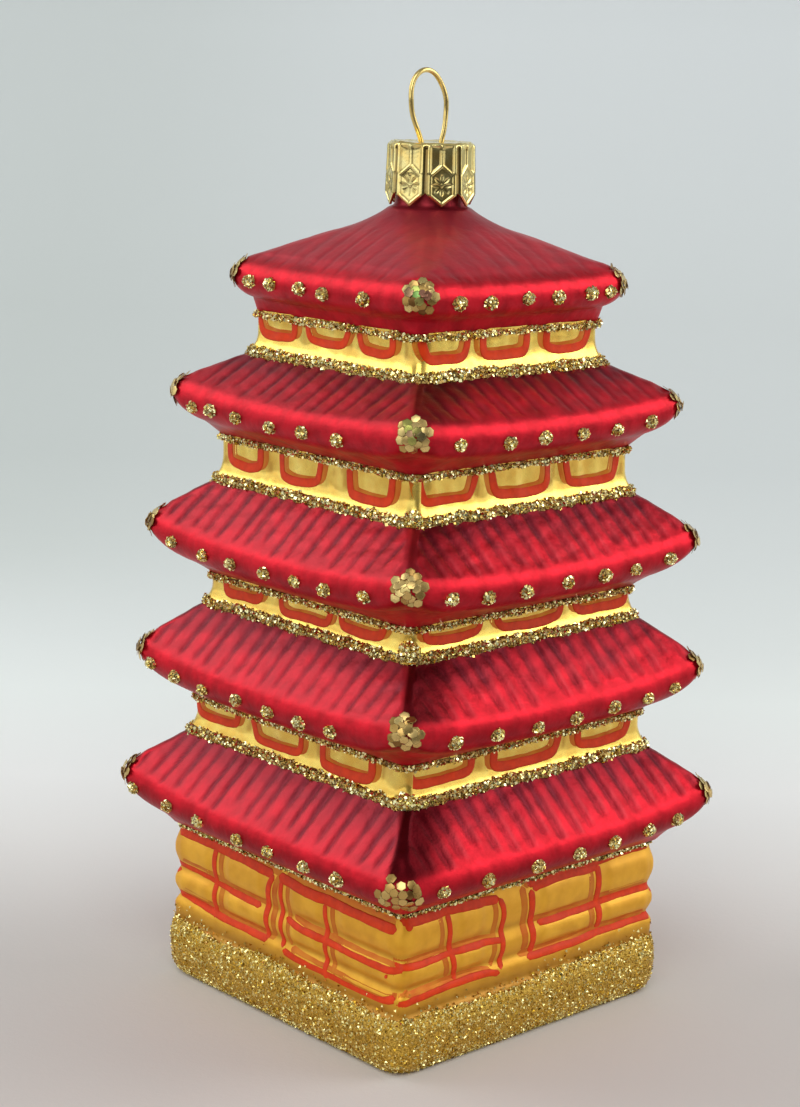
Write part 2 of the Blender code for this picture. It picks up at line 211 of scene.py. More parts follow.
def roof_lacquer():
    """Satin red lacquer over silvered glass: wine-coloured where it gathers between the ribs and
    darker with painted shade below the walls, on the rolls and under the eaves; paler with haze and a
    painted sheen; nearly black in a painted dark reflection beside the near hip; and duller on the
    underside."""
    finish = Finish("satin_red_lacquer", IOR=1.5, Specular_IOR_Level=0.15, Coat_Roughness=0.36)
    pooled, hazy = finish.painted("pooled"), finish.painted("hazy")
    under, deep = finish.painted("under"), finish.painted("deep")
    cloud, grain = finish.mottle(3.2, 3.0), finish.mottle(0.35, 2.0)
    shade = finish.span(cloud, 0.38, 0.62)
    red = finish.mix((0.47, 0.006, 0.015), (0.70, 0.011, 0.026), shade)
    # Wine red where lacquer gathers between the ribs, and painted shade below the walls, on the rolls and
    # under the eaves
    red = finish.mix(red, (0.115, 0.005, 0.014), pooled * 0.94)
    # Paler haze beside the ribs, and a painted sheen
    red = finish.mix(red, (0.56, 0.064, 0.084), hazy * 0.6)
    # Near black: a painted dark reflection beside the near hip
    red = finish.mix(red, (0.060, 0.001, 0.003), deep)
    metal = finish.span(hazy, 0.0, 1.0, 0.74, 0.5) * (1 - under * 0.85)
    return finish.set(
        Base_Color=red, Metallic=metal + deep * 0.26,
        Coat_Weight=(1 - deep) * (1 - under) * (hazy * 0.12 + 0.05),
        Roughness=finish.span(cloud, 0.3, 0.7, 0.36, 0.42) + hazy * 0.08,
        Normal=finish.relief(finish.mottle(1.6, 2.0) + grain * 0.10, 0.10))


def wall_lacquer(name, clouds, tones, brown, roughness, bumps, **sockets):
    """Gold lacquer over silvered glass, clouded between two tones, and brown where the mesh is in
    shadow; clouds are given by size and detail, and bumps by size and depth."""
    finish = Finish(name, **sockets)
    cloud = finish.mottle(*clouds)
    gold = finish.mix(*tones, finish.span(cloud, 0.35, 0.65))
    return finish.set(
        Base_Color=finish.mix(gold, brown, finish.painted("shadow")),
        Roughness=finish.span(cloud, 0.3, 0.7, *roughness),
        Normal=finish.relief(finish.mottle(bumps[0], 1.0), bumps[1]))


def orange_enamel():
    """Brushed orange-red enamel, deeper where it lies thin over the gold."""
    finish = Finish("orange_red_enamel", Roughness=0.42, Specular_IOR_Level=0.18)
    body = finish.painted("body")
    patch = finish.span(finish.mottle(1.1, 2.0), 0.35, 0.65)
    red = finish.mix((0.50, 0.030, 0.004), (0.86, 0.060, 0.008), body * 0.75 + patch * 0.3)
    return finish.set(Base_Color=red, Normal=finish.relief(finish.mottle(0.5, 1.0), 0.02))


def painted_enamel_reflection():
    """The browner second image of an enamel line in the silvering behind the glass: a painted
    reflection.
    """
    finish = Finish("painted_enamel_reflection_in_silvering", Metallic=0.3, Roughness=0.40, Specular_IOR_Level=0.2)
    body = finish.painted("body") * finish.span(finish.mottle(2.0, 1.0), 0.35, 0.65, 0.7, 1.0)
    return finish.set(Base_Color=finish.mix((0.76, 0.33, 0.024), (0.60, 0.105, 0.010), body))


def glitter_flake(name, dark, bright, roughness):
    """Metallised flakes; each one carries its own glint, from dull to bright."""
    finish = Finish(name, Metallic=1.0, Roughness=roughness)
    glint = finish.span(finish.painted("glint"), 0.12, 0.62)
    return finish.set(Base_Color=finish.mix(dark, bright, glint))


def glitter_bed(name, low, high, size, depth):
    """Glue full of fine flakes, seen between the larger ones."""
    finish = Finish(name, Metallic=0.85, Roughness=0.42)
    grain = finish.mottle(size, 2.0, 0.7)
    return finish.set(
        Base_Color=finish.mix(low, high, finish.span(grain, 0.4, 0.62)),
        Normal=finish.relief(grain, depth))


def sequin_film():
    """Thin metallised film: gold, with a few greenish, pinkish and yellow pieces, and painted shade
    on the rims.
    """
    finish = Finish("gold_sequin_film", Metallic=0.9, Coat_Weight=0.1, Coat_Roughness=0.1)
    glint, cut = finish.painted("glint"), finish.painted("cut")
    hue = finish.node("ShaderNodeValToRGB", {"stops": (
        (0.0, (0.16, 0.06, 0.015)), (0.30, (0.52, 0.32, 0.09)), (0.60, (0.82, 0.60, 0.23)),
        (0.78, (0.50, 0.42, 0.14)), (0.86, (0.44, 0.45, 0.10)), (0.93, (0.11, 0.29, 0.08)),
        (1.0, (0.58, 0.24, 0.16)))}, {"Fac": glint})
    return finish.set(
        # Painted shade on the rims
        Base_Color=finish.mix(hue, (0.09, 0.05, 0.01), cut * 0.8),
        Roughness=finish.span(finish.mottle(0.8), 0.3, 0.7, 0.24, 0.36))


def cap_brass():
    """Bright pressed brass-coloured sheet, slightly brushed, browner with painted shade in the pressed
    lines, the folds between the tabs, the holes and inside.
    """
    finish = Finish("pressed_bright_brass", Metallic=1.0, Coat_Weight=0.2, Coat_Roughness=0.1)
    pressed, cloud = finish.painted("pressed"), finish.mottle(1.4, 3.0)
    gold = finish.mix((0.94, 0.70, 0.23), (1.0, 0.86, 0.36), finish.span(cloud, 0.35, 0.65))
    # Painted shade in the pressed lines, the folds, the holes and inside
    gold = finish.mix(gold, (0.13, 0.065, 0.01), pressed * 0.85)
    return finish.set(
        Base_Color=gold, Roughness=finish.span(cloud, 0.3, 0.7, 0.13, 0.22),
        Normal=finish.relief(finish.mottle(0.5, 2.0), 0.015))


def wire_brass():
    """Drawn brass wire with coppery patches where its coating has rubbed."""
    finish = Finish("drawn_brass_wire", Metallic=1.0)
    rubbed = finish.span(finish.mottle(2.2, 2.0), 0.60, 0.70)
    return finish.set(
        Base_Color=finish.mix((0.80, 0.60, 0.22), (0.62, 0.30, 0.13), rubbed * 0.7),
        Roughness=finish.span(finish.mottle(0.6), 0.3, 0.7, 0.18, 0.3),
        Normal=finish.relief(finish.mottle(0.3, 1.0), 0.008))


def studio_paper():
    """Pale paper with painted light and shade: brightest in a band behind the ornament, darker in front
    of it and higher up, warmer in front and cooler towards the back, with painted shade on its upper
    left, and a dark patch in front, out of sight, painted for the glass to reflect as shade.
    """
    finish = Finish("pale_studio_paper", Roughness=0.85)
    # Painted light and shade along the sheet, from its front to its back
    tint = finish.node("ShaderNodeValToRGB", {"stops": (
        (0.0, (0.69, 0.635, 0.595)), (0.16, (0.70, 0.67, 0.635)), (0.42, (0.94, 0.94, 0.92)),
        (0.58, (0.92, 0.96, 0.93)), (0.80, (0.74, 0.78, 0.77)), (0.90, (0.77, 0.81, 0.80)),
        (1.0, (0.93, 0.97, 0.97)))}, {"Fac": finish.painted("far")})
    # Painted shade on the upper left
    tint = finish.mix(tint, (0.89, 0.90, 0.88), finish.painted("dim"), "MULTIPLY")
    # A dark patch in front, out of sight, painted for the glass to reflect as shade
    tint = finish.mix(tint, (0.10, 0.10, 0.10), finish.painted("bench"))
    return finish.set(Base_Color=tint, Normal=finish.relief(finish.mottle(1.2, 3.0, 0.7), 0.05))


# ---- Meshes


def make_mesh(name, points, face_sets=None, values=None, smooth=True, slots=None):
    """A mesh from points in millimetres and arrays of faces, with values painted on its points; a
    grid that is closed along its columns needs no faces."""
    if face_sets is None:
        face_sets = [grid_faces(*points.shape[:2])]
    points = np.reshape(points, (-1, 3))
    mesh = bpy.data.meshes.new(name)
    mesh.vertices.add(len(points))
    mesh.vertices.foreach_set("co", (np.asarray(points, float) * MM).ravel())
    loops = np.concatenate([faces.ravel() for faces in face_sets])
    sizes = np.concatenate([np.full(len(faces), faces.shape[1]) for faces in face_sets])
    mesh.loops.add(len(loops))
    mesh.loops.foreach_set("vertex_index", loops.astype(np.int32))
    mesh.polygons.add(len(sizes))
    mesh.polygons.foreach_set("loop_start", (np.cumsum(sizes) - sizes).astype(np.int32))
    if slots is not None:
        mesh.polygons.foreach_set("material_index", np.asarray(slots, np.int32))
    for key, value in (values or {}).items():
        layer = mesh.attributes.new(key, "FLOAT", "POINT")
        layer.data.foreach_set("value", np.asarray(value, np.float32).ravel())
    mesh.update(calc_edges=True)
    if smooth:
        mesh.shade_smooth()
    return mesh


def add_object(name, data):
    item = bpy.data.objects.new(name, data)
    bpy.context.scene.collection.objects.link(item)
    return item


def place(mesh, finishes, slot, stands_for=(), body="ornament"):
    """A piece of the ornament from a mesh, which rides on a body and may stand for solids."""
    item = add_object(mesh.name, mesh)
    for finish in finishes:
        mesh.materials.append(finish)
    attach(item, body)
    if stands_for:
        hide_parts(*stands_for)


def grid_faces(rows, columns, closed=True):
    index = np.arange(rows * columns).reshape(rows, columns)
    far = np.roll(index, -1, 1) if closed else index[:, 1:]
    near = index if closed else index[:, :-1]
    return np.stack([near[:-1], far[:-1], far[1:], near[1:]], -1).reshape(-1, 4)


def joined(parts):
    """Several (points, face sets, values) as one, with the faces renumbered."""
    points, faces, values, start = [], [], {}, 0
    for some, sets, carried in parts:
        points.append(np.reshape(some, (-1, 3)))
        faces += [one + start for one in sets]
        for key, value in carried.items():
            values.setdefault(key, []).append(np.ravel(value))
        start += len(points[-1])
    return np.concatenate(points), faces, {key: np.concatenate(value) for key, value in values.items()}


def place_in_two(name, smooth, faceted, finishes, slot, stands_for=()):
    """One piece from smooth parts in a first finish and faceted parts in a second one."""
    points, faces, values = joined([*smooth, *faceted])
    slots = np.ones(sum(len(one) for one in faces))
    slots[:sum(len(one) for part in smooth for one in part[1])] = 0
    mesh = make_mesh(name, points, faces, values, slots=slots)
    mesh.polygons.foreach_set("use_smooth", slots == 0)
    place(mesh, finishes, slot, stands_for)


def spokes(turns, side, other):
    """Directions at angles from one direction towards another, for one or many pairs of them."""
    return np.cos(turns)[:, None] * side[..., None, :] + np.sin(turns)[:, None] * other[..., None, :]


# ---- Glass


def turned(out, along, side):
    """Level coordinates of places on a side, by how far out and how far along it they are."""
    cos, sin = math.cos(side * math.pi / 2), math.sin(side * math.pi / 2)
    return out * cos - along * sin, out * sin + along * cos


def glass_grid(rows, straight_steps, arc_steps):
    """Points over a stack of sections, and for each point its side and its distance along it."""
    half, height, corner, lift, roundness, near = (np.array(v, float)[:, None] for v in zip(*rows))
    straight = half - corner
    share = np.linspace(-1, 1, straight_steps + 1)
    bend = np.linspace(0, math.pi / 2, arc_steps + 1)[1:-1]
    out = np.hstack([half + 0 * share, straight + corner * np.cos(bend)])
    along = np.hstack([straight * share, straight + corner * np.sin(bend)])
    x, y = (np.hstack(v) for v in zip(*(turned(out, along, side) for side in range(4))))
    sides = np.hstack([np.full(out.shape, side) for side in range(4)])
    polar = np.arctan2(y, x)
    x = lerp(x, half * np.cos(polar), roundness)
    y = lerp(y, half * np.sin(polar), roundness)
    cornerness = np.minimum(abs(x), abs(y)) / np.maximum(abs(x), abs(y))
    z = height + lift * np.where((x > 0) & (y < 0), near, 1.0) * cornerness ** LIFT_POWER
    return np.stack([x, y, z], -1), sides, np.hstack([along] * 4)


def outward(grid):
    """Unit normals of a grid that is closed along its columns and runs from the lowest row up."""
    across = np.roll(grid, -1, 1) - np.roll(grid, 1, 1)
    return unit(np.cross(across, np.gradient(grid, axis=0)))


def smooth_rows(rows, steps):
    """More sections between the ones given, on smooth curves through them."""
    table = np.array(rows, float)
    padded = np.vstack([2 * table[0] - table[1], table, 2 * table[-1] - table[-2]])
    made = []
    for index in range(len(table) - 1):
        a, b, c, d = padded[index:index + 4]
        for share in np.arange(steps) / steps:
            made.append(0.5 * (2 * b + (c - a) * share + (2 * a - 5 * b + 4 * c - d) * share ** 2
                               + (3 * b - a - 3 * c + d) * share ** 3))
    made.append(table[-1])
    return [Row(*values) for values in made]


def roof_foot(level):
    """Half width and height of the place where a roof's slope meets what stands on it."""
    if level < TOP_LEVEL:
        return STOREYS[level + 1].wall + FOOT_FLARE, STOREYS[level + 1].foot
    return TOP_ROOF[0][:2]


def slope_angle(level):
    """The angle on the roll where a straight line from the roof's foot touches it."""
    storey = STOREYS[level]
    across, height = roof_foot(level)
    reach = complex(across - (storey.eave - storey.roll), height - storey.middle)
    return math.atan2(reach.imag, reach.real) - math.acos(storey.roll / abs(reach))


def roof_rows(level, soffit_steps=4, roll_steps=13, slope_steps=22):
    """Sections of a roof from the wall's head under the eave and over the slope; the share of the
    slope that lies below each, less than 0 on the roll and under the eave."""
    storey = STOREYS[level]
    end = slope_angle(level)
    corner = EAVE_CORNER + SOFFIT_SWEEP * max(0.0, storey.eave - storey.wall - SOFFIT_SHORTEST)
    roll = []
    for step in range(roll_steps + 1):
        angle = lerp(ROLL_START, end, step / roll_steps)
        under = max(0.0, angle / ROLL_START)
        roll.append(Row(storey.eave - storey.roll + storey.roll * math.cos(angle),
                        storey.middle + storey.roll * math.sin(angle),
                        lerp(EAVE_CORNER, corner, under),
                        storey.lift * lerp(1.0, 0.8, under), 0.0, storey.near))
    head = Row(storey.wall + HEAD_FLARE - 0.1, storey.top - 0.2, WALL_CORNER, 0.0, 0.0, storey.near)
    rows = [Row(*np.array(head) + (np.array(roll[0]) - np.array(head)) * step / soffit_steps)
            for step in range(soffit_steps)]
    shares = [-1.0 - (soffit_steps - step) / soffit_steps for step in range(soffit_steps)]
    rows += roll
    shares += [-1.0 + step / roll_steps for step in range(roll_steps + 1)]
    across, height = roof_foot(level)
    top = roll[-1]
    slope = []
    for step in range(1, slope_steps + 1):
        share = step / slope_steps
        hip = lerp(EAVE_CORNER, 1.5, ease(0.0, 0.35, share)) + 0.7 * ease(0.8, 1.0, share)
        slope.append(Row(lerp(top.half, across, share), lerp(top.height, height, share), hip,
                         storey.lift * (1 - share) ** 1.32, 0.0, storey.near))
    if level == TOP_LEVEL:
        middle = slope_steps // 2
        slope[middle - 1:] = smooth_rows([slope[middle], *TOP_ROOF], 7)
    return rows + slope, shares + [step / len(slope) for step in range(1, len(slope) + 1)]


def rib_valleys(level, along, sides, slope):
    """How deep each point of a slope lies in the valleys between the moulded ribs, from 0 to 1."""
    storey = STOREYS[level]
    run = (storey.eave - roof_foot(level)[0]) * 1.5
    depth = np.zeros(along.shape)
    for side in range(4):
        dice = np.random.default_rng(RIB_SEED + 10 * level + side)
        lean = (1.0 if side in (0, 1) else -1.0) * 0.10
        count = int(storey.eave * 2 / RIB_PITCH)
        here = sides == side
        x, v = along[here], slope[here]
        total = np.zeros(x.shape)
        for rib in range(count):
            centre = (rib - (count - 1) / 2) * RIB_PITCH + dice.uniform(-0.36, 0.36)
            start = dice.uniform(-0.08, 0.06) if rib % 4 else dice.uniform(0.0, 0.22)
            width = dice.uniform(0.50, 0.76)
            bow = dice.uniform(-0.15, 0.15)
            middle = centre + lean * (1 - v) * run + bow * np.sin(v * math.pi)
            broad = width * (0.70 + 0.38 * np.clip(v, 0, 1))
            total += np.exp(-abs((x - middle) / broad) ** 2.6) * ease(start - 0.05, start + 0.12, v) \
                * dice.uniform(0.72, 1.0)
        depth[here] = np.clip(total, 0, 1)
    return depth


# For each roof: points along a side, strength of its ribs, how dark the painted shade is below the wall
# that stands on it and the left sides' share of that, how far the painted dark reflection beside the
# near hip reaches past it at the eave and how dark it is, how dark the painted shade on the roll is,
# and how cloudy the slopes are
RoofPaint = namedtuple("RoofPaint", "steps ribs below_wall left past_hip hip roll cloudy")
ROOF_PAINT = (
    RoofPaint(134, 1.0, 0.62, 1.0, 1.9, 0.96, 0.45, 0.22),
    RoofPaint(128, 0.85, 0.66, 1.0, 0.5, 0.86, 0.34, 0.40),
    RoofPaint(124, 1.0, 0.66, 0.2, 0.4, 0.5, 0.30, 0.36),
    RoofPaint(110, 0.8, 0.70, 1.0, 0.3, 0.62, 0.26, 0.25),
    RoofPaint(88, 0.42, 0.6, 1.0, 0.0, 0.12, 0.20, 0.15),
)


def lacquer_tones(level, grid, sides, along, slope, valley):
    """How the lacquer lies at each point of a roof: gathered between the ribs, with painted shade below
    the wall, on the roll and under the eave; with haze and a painted sheen; on the underside; and with
    a painted dark reflection beside the near hip. Sides 1 and 3, on the left of their corners, get
    more of the painted sheen than the others."""
    paint = ROOF_PAINT[level]
    left = np.isin(sides, (1, 3))
    # Painted shade on the slope just below the wall that stands on it
    below_wall = (ease(0.42, 0.62, slope) if level == TOP_LEVEL else ease(0.22, 0.90, slope)) \
        * paint.below_wall * np.where(left, paint.left, 1.0)
    # A painted dark reflection beside the near hip, reaching past it at the eave
    beside_hip = (grid[..., 0] + grid[..., 1]) / math.sqrt(2)
    past_hip = paint.past_hip * (1 - np.clip(slope, 0, 1))
    deep = ease(-0.3, 0.3, beside_hip + past_hip) * ease(9.2, 2.8, beside_hip) * (grid[..., 1] < 0) \
        * ease(-0.45, 0.10, slope) * paint.hip
    patches = 0.5 + 0.5 * waver(level + 70, along / 2.6 + sides * 5, slope * 4.0)
    # Painted shade under the eave and on the roll
    under = ease(-0.50, -1.05, slope)
    roll_shade = ease(-0.12, -0.60, slope) * paint.roll
    # Lacquer gathered between the ribs, darker on sides 1 and 3, with the painted shade added to it
    pooled = valley * np.where(left, 0.96, 0.60) * paint.ribs
    pooled = pooled + below_wall + under * 0.15 + roll_shade * (1 - under)
    pooled = pooled + 0.09 * ease(0.02, 0.18, slope)
    pooled = np.clip(pooled + off_edges(slope) * (patches - 0.62) * paint.cloudy, 0, 1)
    # Haze beside each rib, then a painted sheen on the slopes of sides 1 and 3
    hazy = np.roll(valley, 2, 1) * np.where(left, 0.10, 0.55 - 0.42 * ease(0.30, 0.80, slope)) * paint.ribs
    hazy = hazy + np.where(left, 0.42, 0.04) * ease(-0.2, 0.1, slope) * (1 - 0.65 * valley)
    # A painted sheen over the top roof's slope
    if level == TOP_LEVEL:
        hazy = hazy * 0.4 + ease(0.04, 0.20, slope) * (0.70 - 0.35 * ease(0.35, 0.8, slope))
    return {"pooled": pooled, "hazy": np.clip(hazy, 0, 1), "under": under, "deep": deep}


def off_edges(slope):
    """1 on a slope, and 0 at its lower and upper edge."""
    return ease(0.0, 0.15, slope) * ease(1.0, 0.85, slope)


def make_roof(level, finish):
    """One roof with its ribs; gives the tree of its surface, on which beads and sequins are set."""
    paint = ROOF_PAINT[level]
    rows, shares = roof_rows(level)
    grid, sides, along = glass_grid(rows, paint.steps, 9)
    slope = np.repeat(np.array(shares)[:, None], grid.shape[1], 1)
    half = np.array([row.half for row in rows])[:, None]
    off_hip = ease(0.3, 2.4, half - abs(along)) * (abs(along) < half)
    top_fade = ease(0.62, 0.35, slope) if level == TOP_LEVEL else ease(1.0, 0.93, slope)
    valley = rib_valleys(level, along, sides, slope) * off_hip * top_fade
    uneven = waver(level + 40, along / 3.3 + sides * 9, slope * 4.5)
    rise = -RIB_DEPTH * valley * paint.ribs + SLOPE_WAVER * uneven * off_edges(slope)
    grid = grid + outward(grid) * rise[..., None]
    tones = lacquer_tones(level, grid, sides, along, slope, valley)
    mesh = make_mesh(f"roof_{level + 1}", grid, values=tones)
    place(mesh, [finish], "painted_glass", ["glass_body"])
    return BVHTree.FromPolygons([Vector(p) for p in grid.reshape(-1, 3)],
                                grid_faces(*grid.shape[:2]).tolist())


# ---- Walls and their painted windows

# Left leg, right leg and sill height of each painted window, for sides 0 and 3 of each upper storey
WINDOWS = {
    1: {0: ((-24.2, -12.2, 43.9), (-7.8, 5.6, 43.6), (10.4, 21.4, 43.7)),
        3: ((-23.7, -13.8, 44.1), (-9.3, 1.8, 43.3), (6.9, 18.0, 43.1))},
    2: {0: ((-20.7, -9.8, 64.6), (-5.7, 7.2, 64.5), (11.0, 21.7, 64.7)),
        3: ((-19.2, -10.6, 64.6), (-5.5, 6.0, 64.1), (8.6, 18.0, 64.5))},
    3: {0: ((-20.9, -11.2, 84.8), (-6.6, 4.3, 84.6), (8.9, 19.2, 84.7)),
        3: ((-19.7, -12.0, 85.1), (-7.2, 1.6, 84.7), (8.8, 17.8, 84.2))},
    4: {0: ((-17.6, -9.6, 104.7), (-6.2, 2.8, 104.7), (6.9, 15.6, 104.9)),
        3: ((-16.9, -8.9, 105.2), (-5.4, 2.8, 105.3), (6.4, 13.4, 105.1))},
}
# Strokes on the ground storey: width, then points along and up the side
GROUND_STROKES = {
    3: ((1.5, (-26.4, 24.2), (-17, 24.0), (-8, 23.7), (-2.0, 23.3)),
        (1.5, (-0.6, 23.5), (4, 23.0), (12, 22.9), (20, 22.8), (26.6, 22.8)),
        (1.0, (-26.6, 18.6), (-20, 18.3), (-14, 17.8), (-9, 17.5), (-5.0, 17.4)),
        (1.1, (1.2, 17.3), (5, 16.6), (10, 16.5), (18, 16.3), (25, 16.2), (27.9, 16.9)),
        (1.2, (-26.2, 13.7), (-20, 13.1), (-12, 12.6), (-3.2, 12.5)),
        (1.2, (0.8, 11.9), (4, 11.4), (12, 11.2), (19, 10.8), (24, 11.0), (26.8, 12.2)),
        (1.2, (-16.4, 23.8), (-16.6, 18), (-16.4, 12.2)),
        (1.2, (-1.8, 23.3), (-2.8, 21.5), (-3.4, 18), (-3.3, 15), (-3.2, 12.6)),
        (1.0, (0.2, 23.0), (0.0, 20), (0.2, 16), (0.6, 12.2)),
        (1.1, (10.7, 22.4), (10.8, 17), (10.9, 12), (11.2, 9.9)),
        (1.4, (24.8, 15.5), (25.2, 15.1))),
    0: ((1.4, (-27.2, 24.2), (-24, 23.8), (-17, 23.9), (-10, 23.6), (-7.6, 23.5)),
        (1.1, (-7.6, 23.4), (-6.7, 21.5), (-6.6, 18), (-6.7, 15), (-7.0, 12.0)),
        (1.6, (-1.4, 24.4), (6, 24.6), (14, 24.7), (26.2, 25.0)),
        (1.1, (-0.4, 23.3), (4, 23.9), (12, 23.7), (14, 23.6)),
        (1.0, (-28.2, 17.4), (-26, 16.8), (-19, 17.1), (-13, 17.2), (-8.3, 16.9), (-6.9, 16.6)),
        (1.1, (1.0, 17.6), (8, 17.4), (14, 17.7), (20, 17.9), (27.0, 17.8)),
        (1.1, (-28.0, 11.3), (-24, 11.7), (-16, 12.2), (-10, 12.2), (-7.2, 11.6)),
        (1.2, (-1.2, 12.4), (0, 12.5), (8, 12.4), (14, 12.8), (20, 12.9), (27.0, 12.8)),
        (1.1, (-18.4, 23.6), (-17.8, 20), (-17.3, 17), (-16.4, 12.5)),
        (1.3, (-0.7, 23.3), (-0.5, 18), (-0.1, 12.8)),
        (1.4, (14.0, 24.0), (14.3, 18), (14.6, 12.9)),
        (1.5, (-26.6, 23.6), (-25.4, 23.2))),
}
# Left and right edges of the moulded panes on the ground storey, and their lower and upper edges
PANES = {3: ((-26.2, -17.4), (-13.6, -4.2), (2.2, 9.9), (13.8, 26.4)),
         0: ((-26.4, -19.2), (-16.2, -10.6), (1.2, 12.8), (15.8, 26.2))}
PANE_ROWS = ((13.4, 17.9), (18.1, 24.2))
PANE_RISE, WINDOW_RISE, FOLD_RISE = 0.24, 0.20, 0.11


def seen_side(side):
    """The painted side whose pattern a side takes, and whether it is mirrored."""
    return {0: (0, 1), 1: (3, -1), 2: (0, -1), 3: (3, 1)}[side]


def wall_half(level, height):
    """The half width of a wall at a height, without its windows' relief."""
    storey = STOREYS[level]
    height = np.asarray(height, float)
    if level == 0:
        bulge = np.zeros(height.shape)
        for low, high in zip(LOG_GROOVES, LOG_GROOVES[1:]):
            middle, reach = (low + high) / 2, (high - low) / 2
            away = np.clip(abs(height - middle) / reach, 0, 1)
            inside = abs(height - middle) <= reach
            bulge = np.where(inside, 1 - ease(0.1, 1.0, away) * 0.6 - 0.4 * away ** 2.2, bulge)
        depth = LOG_DEPTH * (1 - 0.75 * ease(12.4, 10.2, height))
        return storey.wall - depth * (1 - bulge) - HEAD_FLARE * ease(24.0, 25.8, height)
    foot = np.clip(1 - (height - storey.foot) / 3.4, 0, 1.2)
    head = np.clip((height - storey.top + 1.6) / 1.6, 0, 1)
    return storey.wall + (FOOT_FLARE + 0.15) * foot ** 2.2 + HEAD_FLARE * head ** 2


def wall_relief(level, side, along, height):
    """How far the moulded window panes and the folds between them stand out of a wall."""
    source, mirror = seen_side(side)
    x = np.asarray(along, float) * mirror
    z = np.asarray(height, float)
    rise = np.zeros(np.broadcast(x, z).shape)
    if level == 0:
        for left, right in PANES[source]:
            across = ease(left - 0.3, left + 1.3, x) * ease(right + 0.3, right - 1.3, x)
            for low, high in PANE_ROWS:
                up = ease(low, low + 1.3, z) * ease(high, high - 1.5, z)
                rise = rise + PANE_RISE * across * up
        return rise - 0.10
    storey = STOREYS[level]
    for left, right, sill in WINDOWS[level][source]:
        across = ease(left, left + 1.9, x) * ease(right, right - 1.9, x)
        rise = rise + WINDOW_RISE * across * ease(sill - 0.1, sill + 1.7, z)
    folds = waver(level * 7 + source, x / 2.9, (z - storey.foot) / 9.0)
    return rise + FOLD_RISE * folds * ease(storey.foot + 1.6, storey.foot + 3.6, z)


def wall_point(level, side, along, height, lift):
    """Places on a wall, by the distance along it round its corners too, and a lift off it."""
    along, height, lift = np.broadcast_arrays(*(np.asarray(v, float) for v in (along, height, lift)))
    half = wall_half(level, height) + wall_relief(level, side, along, height)
    straight = half - WALL_CORNER
    angle = np.clip((abs(along) - straight) / WALL_CORNER, 0, math.pi / 2)
    reach = WALL_CORNER + lift
    out = np.where(angle > 0, straight + reach * np.cos(angle), half + lift)
    across = np.where(angle > 0, straight + reach * np.sin(angle), abs(along)) * np.sign(along)
    return np.stack([*turned(out, across, side), height], -1)


def wall_shadow(level, sides, along, z):
    """How much painted shadow browns the lacquer at each point of a wall: between the windows of the
    upper storeys, and in the grooves, at the foot and under the eave of the ground storey."""
    if level == 0:
        shadow = 0.75 * ease(12.4, 9.6, z) + 0.35 * ease(23.9, 25.4, z)
        for groove in LOG_GROOVES[1:3]:
            shadow = shadow + 0.35 * np.exp(-((z - groove - 0.3) / 0.7) ** 2)
        return np.clip(shadow, 0, 1)
    foot = STOREYS[level].foot
    shadow = np.zeros(z.shape)
    for side in range(4):
        here = sides == side
        source, mirror = seen_side(side)
        x = along[here] * mirror
        between = waver(level * 5 + source + 300, x / 1.5, (z[here] - foot) / 5.0)
        outside = np.ones(x.shape)
        for left, right, _ in WINDOWS[level][source]:
            outside = np.minimum(outside, 1 - ease(left - 0.6, left + 0.2, x)
                                 * ease(right + 0.6, right - 0.2, x))
        shadow[here] = 0.75 * ease(0.1, 0.6, between) * outside * ease(foot + 2.0, foot + 3.2, z[here])
    return np.clip(shadow, 0, 1)


def make_wall(level, finish):
    """The walls of one storey; the lowest has the pillow base and its flat underside too."""
    storey = STOREYS[level]
    if level == 0:
        heights, steps = np.linspace(9.2, 25.9, 58), 128
    else:
        heights, steps = np.linspace(storey.foot - 0.3, storey.top + 0.1, 24), 84
    rows = [Row(float(half), float(z), WALL_CORNER) for half, z in
            zip(wall_half(level, heights), heights)]
    if level == 0:
        rows = smooth_rows([*BASE, Row(27.95, 9.3, 2.2)], 5)[:-1] + rows[1:]
    grid, sides, along = glass_grid(rows, steps, 8)
    z = grid[..., 2]
    rise = np.zeros(z.shape)
    for side in range(4):
        here = sides == side
        rise[here] = wall_relief(level, side, along[here], z[here])
    shadow = wall_shadow(level, sides, along, z)
    if level == 0:
        rise = rise * ease(10.2, 11.4, z)
    grid = grid + outward(grid) * rise[..., None]
    faces = [grid_faces(*grid.shape[:2])]
    if level == 0:
        faces.append(np.arange(grid.shape[1])[::-1][None])
    mesh = make_mesh(f"storey_{level + 1}" if level else "ground_storey", grid, faces, {"shadow": shadow})
    place(mesh, [finish], "painted_glass", ["glass_body"])


def rounded_path(points, passes=2):
    """A line of points with its corners rounded off."""
    line = np.array(points, float)
    for _ in range(passes):
        near, far = line[:-1] * 0.75 + line[1:] * 0.25, line[:-1] * 0.25 + line[1:] * 0.75
        line = np.vstack([line[:1], np.stack([near, far], 1).reshape(-1, 2), line[-1:]])
    return line


# How far the painted reflection of an enamel line lies along the wall and up from it, low down and
# higher up
GROUND_REFLECTION, UPPER_REFLECTION = (1.75, 0.85), (1.15, 0.50)


